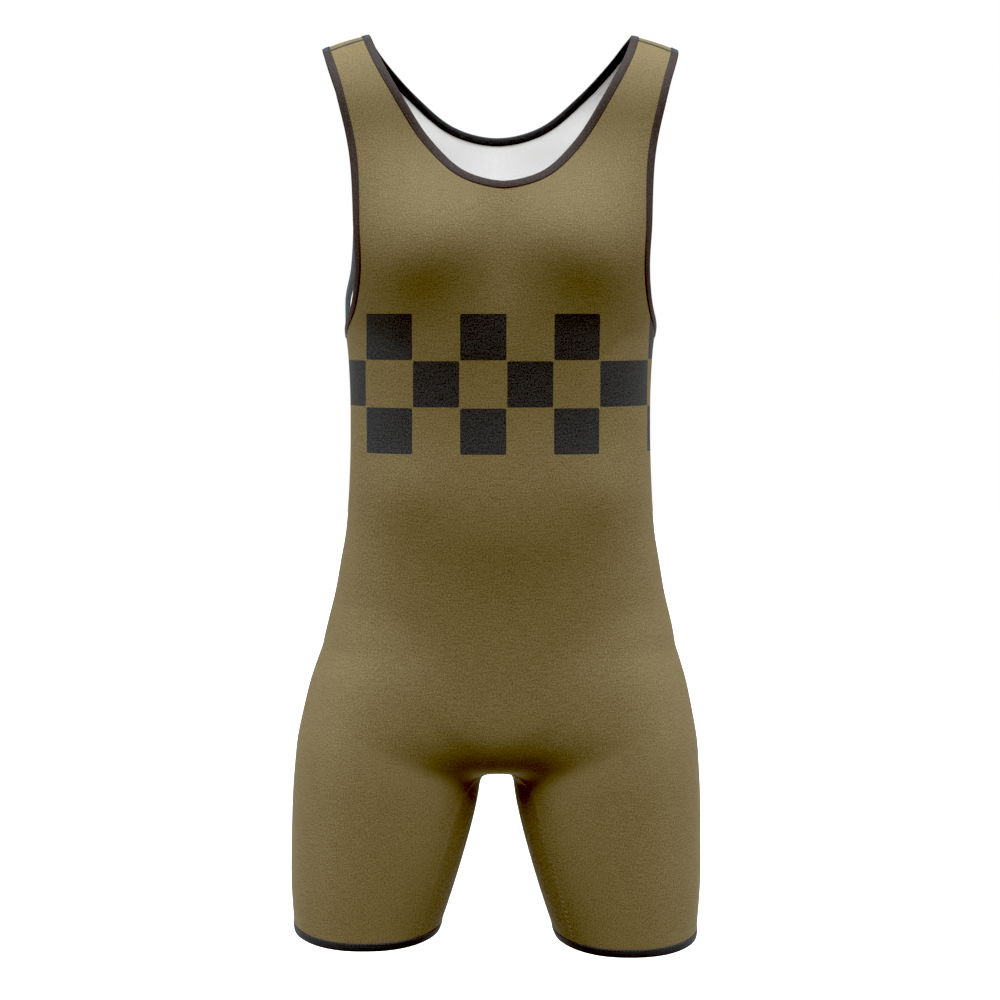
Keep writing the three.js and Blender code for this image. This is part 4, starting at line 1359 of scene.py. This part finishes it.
# Small lamp from below that lifts the shade between the legs
FILL = {
    "place": (-0.004, -0.4, -1.12),
    "aim": (-0.004, -0.05, -0.7),
    "power": 9.0,
    "cone": 15,
    "radius": 0.05,
}

# How bright the surroundings look, how bright they light the cloth, and the view's darkest tone
SKY = {"seen": 1.0, "cast": 0.05}
BLACK_LEVEL = (0.041, 0.052, 0.059)


def turned_to(place, aim):
    """Rotation that faces -Z from a place towards an aim."""
    return (Vector(aim) - Vector(place)).to_track_quat("-Z", "Y").to_euler()


def add_floor(scene):
    """A wide pale floor that throws no light on the cloth."""
    reach = np.linspace(-FLOOR["reach"], FLOOR["reach"], FLOOR["count"])
    x, y = np.meshgrid(reach, reach)
    points = np.stack([x, y, np.full_like(x, FLOOR["height"])], axis=-1).reshape(-1, 3)
    index = np.arange(x.size).reshape(x.shape)
    quads = np.stack([index[:-1, :-1], index[:-1, 1:], index[1:, 1:], index[1:, :-1]], axis=-1)
    mesh = bpy.data.meshes.new("floor")
    mesh.from_pydata(points.tolist(), [], quads.reshape(-1, 4).tolist())
    mesh.materials.append(floor_paint())
    floor = bpy.data.objects.new("floor", mesh)
    scene.collection.objects.link(floor)
    floor.visible_diffuse = False


def add_soft_lights(scene):
    """The soft far lights round the front and the sides."""
    for azimuth, height, strength, spread in zip(*LIGHTS.values()):
        lamp = bpy.data.lights.new("soft_light", "SUN")
        lamp.energy = strength
        lamp.angle = np.radians(spread)
        light = bpy.data.objects.new("soft_light", lamp)
        across, up = np.radians(azimuth), np.radians(height)
        light.location = (np.sin(across) * np.cos(up), -np.cos(across) * np.cos(up), np.sin(up))
        light.rotation_euler = turned_to(light.location, (0, 0, 0))
        scene.collection.objects.link(light)


def add_fill_light(scene):
    """The small lamp from below."""
    lamp = bpy.data.lights.new("fill_light", "SPOT")
    lamp.energy, lamp.shadow_soft_size = FILL["power"], FILL["radius"]
    lamp.spot_size, lamp.spot_blend = np.radians(FILL["cone"]), 1
    light = bpy.data.objects.new("fill_light", lamp)
    light.location = FILL["place"]
    light.rotation_euler = turned_to(FILL["place"], FILL["aim"])
    scene.collection.objects.link(light)


def add_backdrop(scene):
    """White surroundings, which throw only a little light."""
    world = bpy.data.worlds.new("studio")
    world.use_nodes = True
    tree = world.node_tree
    rays = tree.nodes.new("ShaderNodeLightPath")
    level = tree.nodes.new("ShaderNodeMapRange")
    level.inputs["To Min"].default_value = SKY["cast"]
    level.inputs["To Max"].default_value = SKY["seen"]
    tree.links.new(rays.outputs["Is Camera Ray"], level.inputs["Value"])
    backdrop = tree.nodes["Background"]
    backdrop.inputs["Color"].default_value = (1, 1, 1, 1)
    tree.links.new(level.outputs[0], backdrop.inputs["Strength"])
    scene.world = world


def add_camera(scene):
    """The camera, at the reference photograph's viewing angle, and the view's tones."""
    lens = bpy.data.cameras.new("camera")
    lens.lens = CAMERA["lens"]
    lens.sensor_width = CAMERA["sensor"]
    camera = bpy.data.objects.new("camera", lens)
    camera.location = CAMERA["place"]
    camera.rotation_euler = turned_to(CAMERA["place"], CAMERA["aim"])
    scene.collection.objects.link(camera)
    scene.camera = camera
    scene.view_settings.view_transform = "Standard"
    scene.view_settings.use_curve_mapping = True
    scene.view_settings.curve_mapping.black_level = BLACK_LEVEL


class SINGLET_OT_stage(bpy.types.Operator):
    """Adds the floor, the lights and the camera"""

    bl_idname = "singlet.stage"
    bl_label = "Stage"

    def execute(self, context):
        scene = context.scene
        add_floor(scene)
        add_soft_lights(scene)
        add_fill_light(scene)
        add_backdrop(scene)
        add_camera(scene)
        return {"FINISHED"}


class SINGLET_PT_sidebar(bpy.types.Panel):
    """Lists the singlet's settings and pieces"""

    bl_idname = "SINGLET_PT_sidebar"
    bl_label = "Wrestling singlet"
    bl_space_type = "VIEW_3D"
    bl_region_type = "UI"
    bl_category = "Singlet"

    def draw(self, context):
        for settings in (context.scene.singlet_sizes, context.scene.singlet_colours):
            box = self.layout.box()
            for name in settings.__annotations__:
                box.prop(settings, name)
        for operator in OPERATORS:
            self.layout.operator(operator.bl_idname)


OPERATORS = (
    SINGLET_OT_neck_bindings,
    SINGLET_OT_armhole_bindings,
    SINGLET_OT_hem_bands,
    SINGLET_OT_flat_seams,
    SINGLET_OT_shoulder_seams,
    SINGLET_OT_gusset,
    SINGLET_OT_panels,
    SINGLET_OT_stage,
)
CLASSES = (SingletSizes, SingletColours) + OPERATORS + (SINGLET_PT_sidebar,)


def register():
    """Adds the classes and the scene's settings."""
    for cls in CLASSES:
        bpy.utils.register_class(cls)
    bpy.types.Scene.singlet_sizes = bpy.props.PointerProperty(type=SingletSizes)
    bpy.types.Scene.singlet_colours = bpy.props.PointerProperty(type=SingletColours)


def unregister():
    """Takes the settings and the classes away again."""
    del bpy.types.Scene.singlet_colours
    del bpy.types.Scene.singlet_sizes
    for cls in reversed(CLASSES):
        bpy.utils.unregister_class(cls)


def main():
    """Builds every piece and the stage."""
    register()
    bpy.ops.singlet.neck_bindings()
    bpy.ops.singlet.armhole_bindings()
    bpy.ops.singlet.hem_bands()
    bpy.ops.singlet.flat_seams()
    bpy.ops.singlet.shoulder_seams()
    bpy.ops.singlet.gusset()
    bpy.ops.singlet.panels()
    bpy.ops.singlet.stage()


if __name__ == "__main__":
    main()
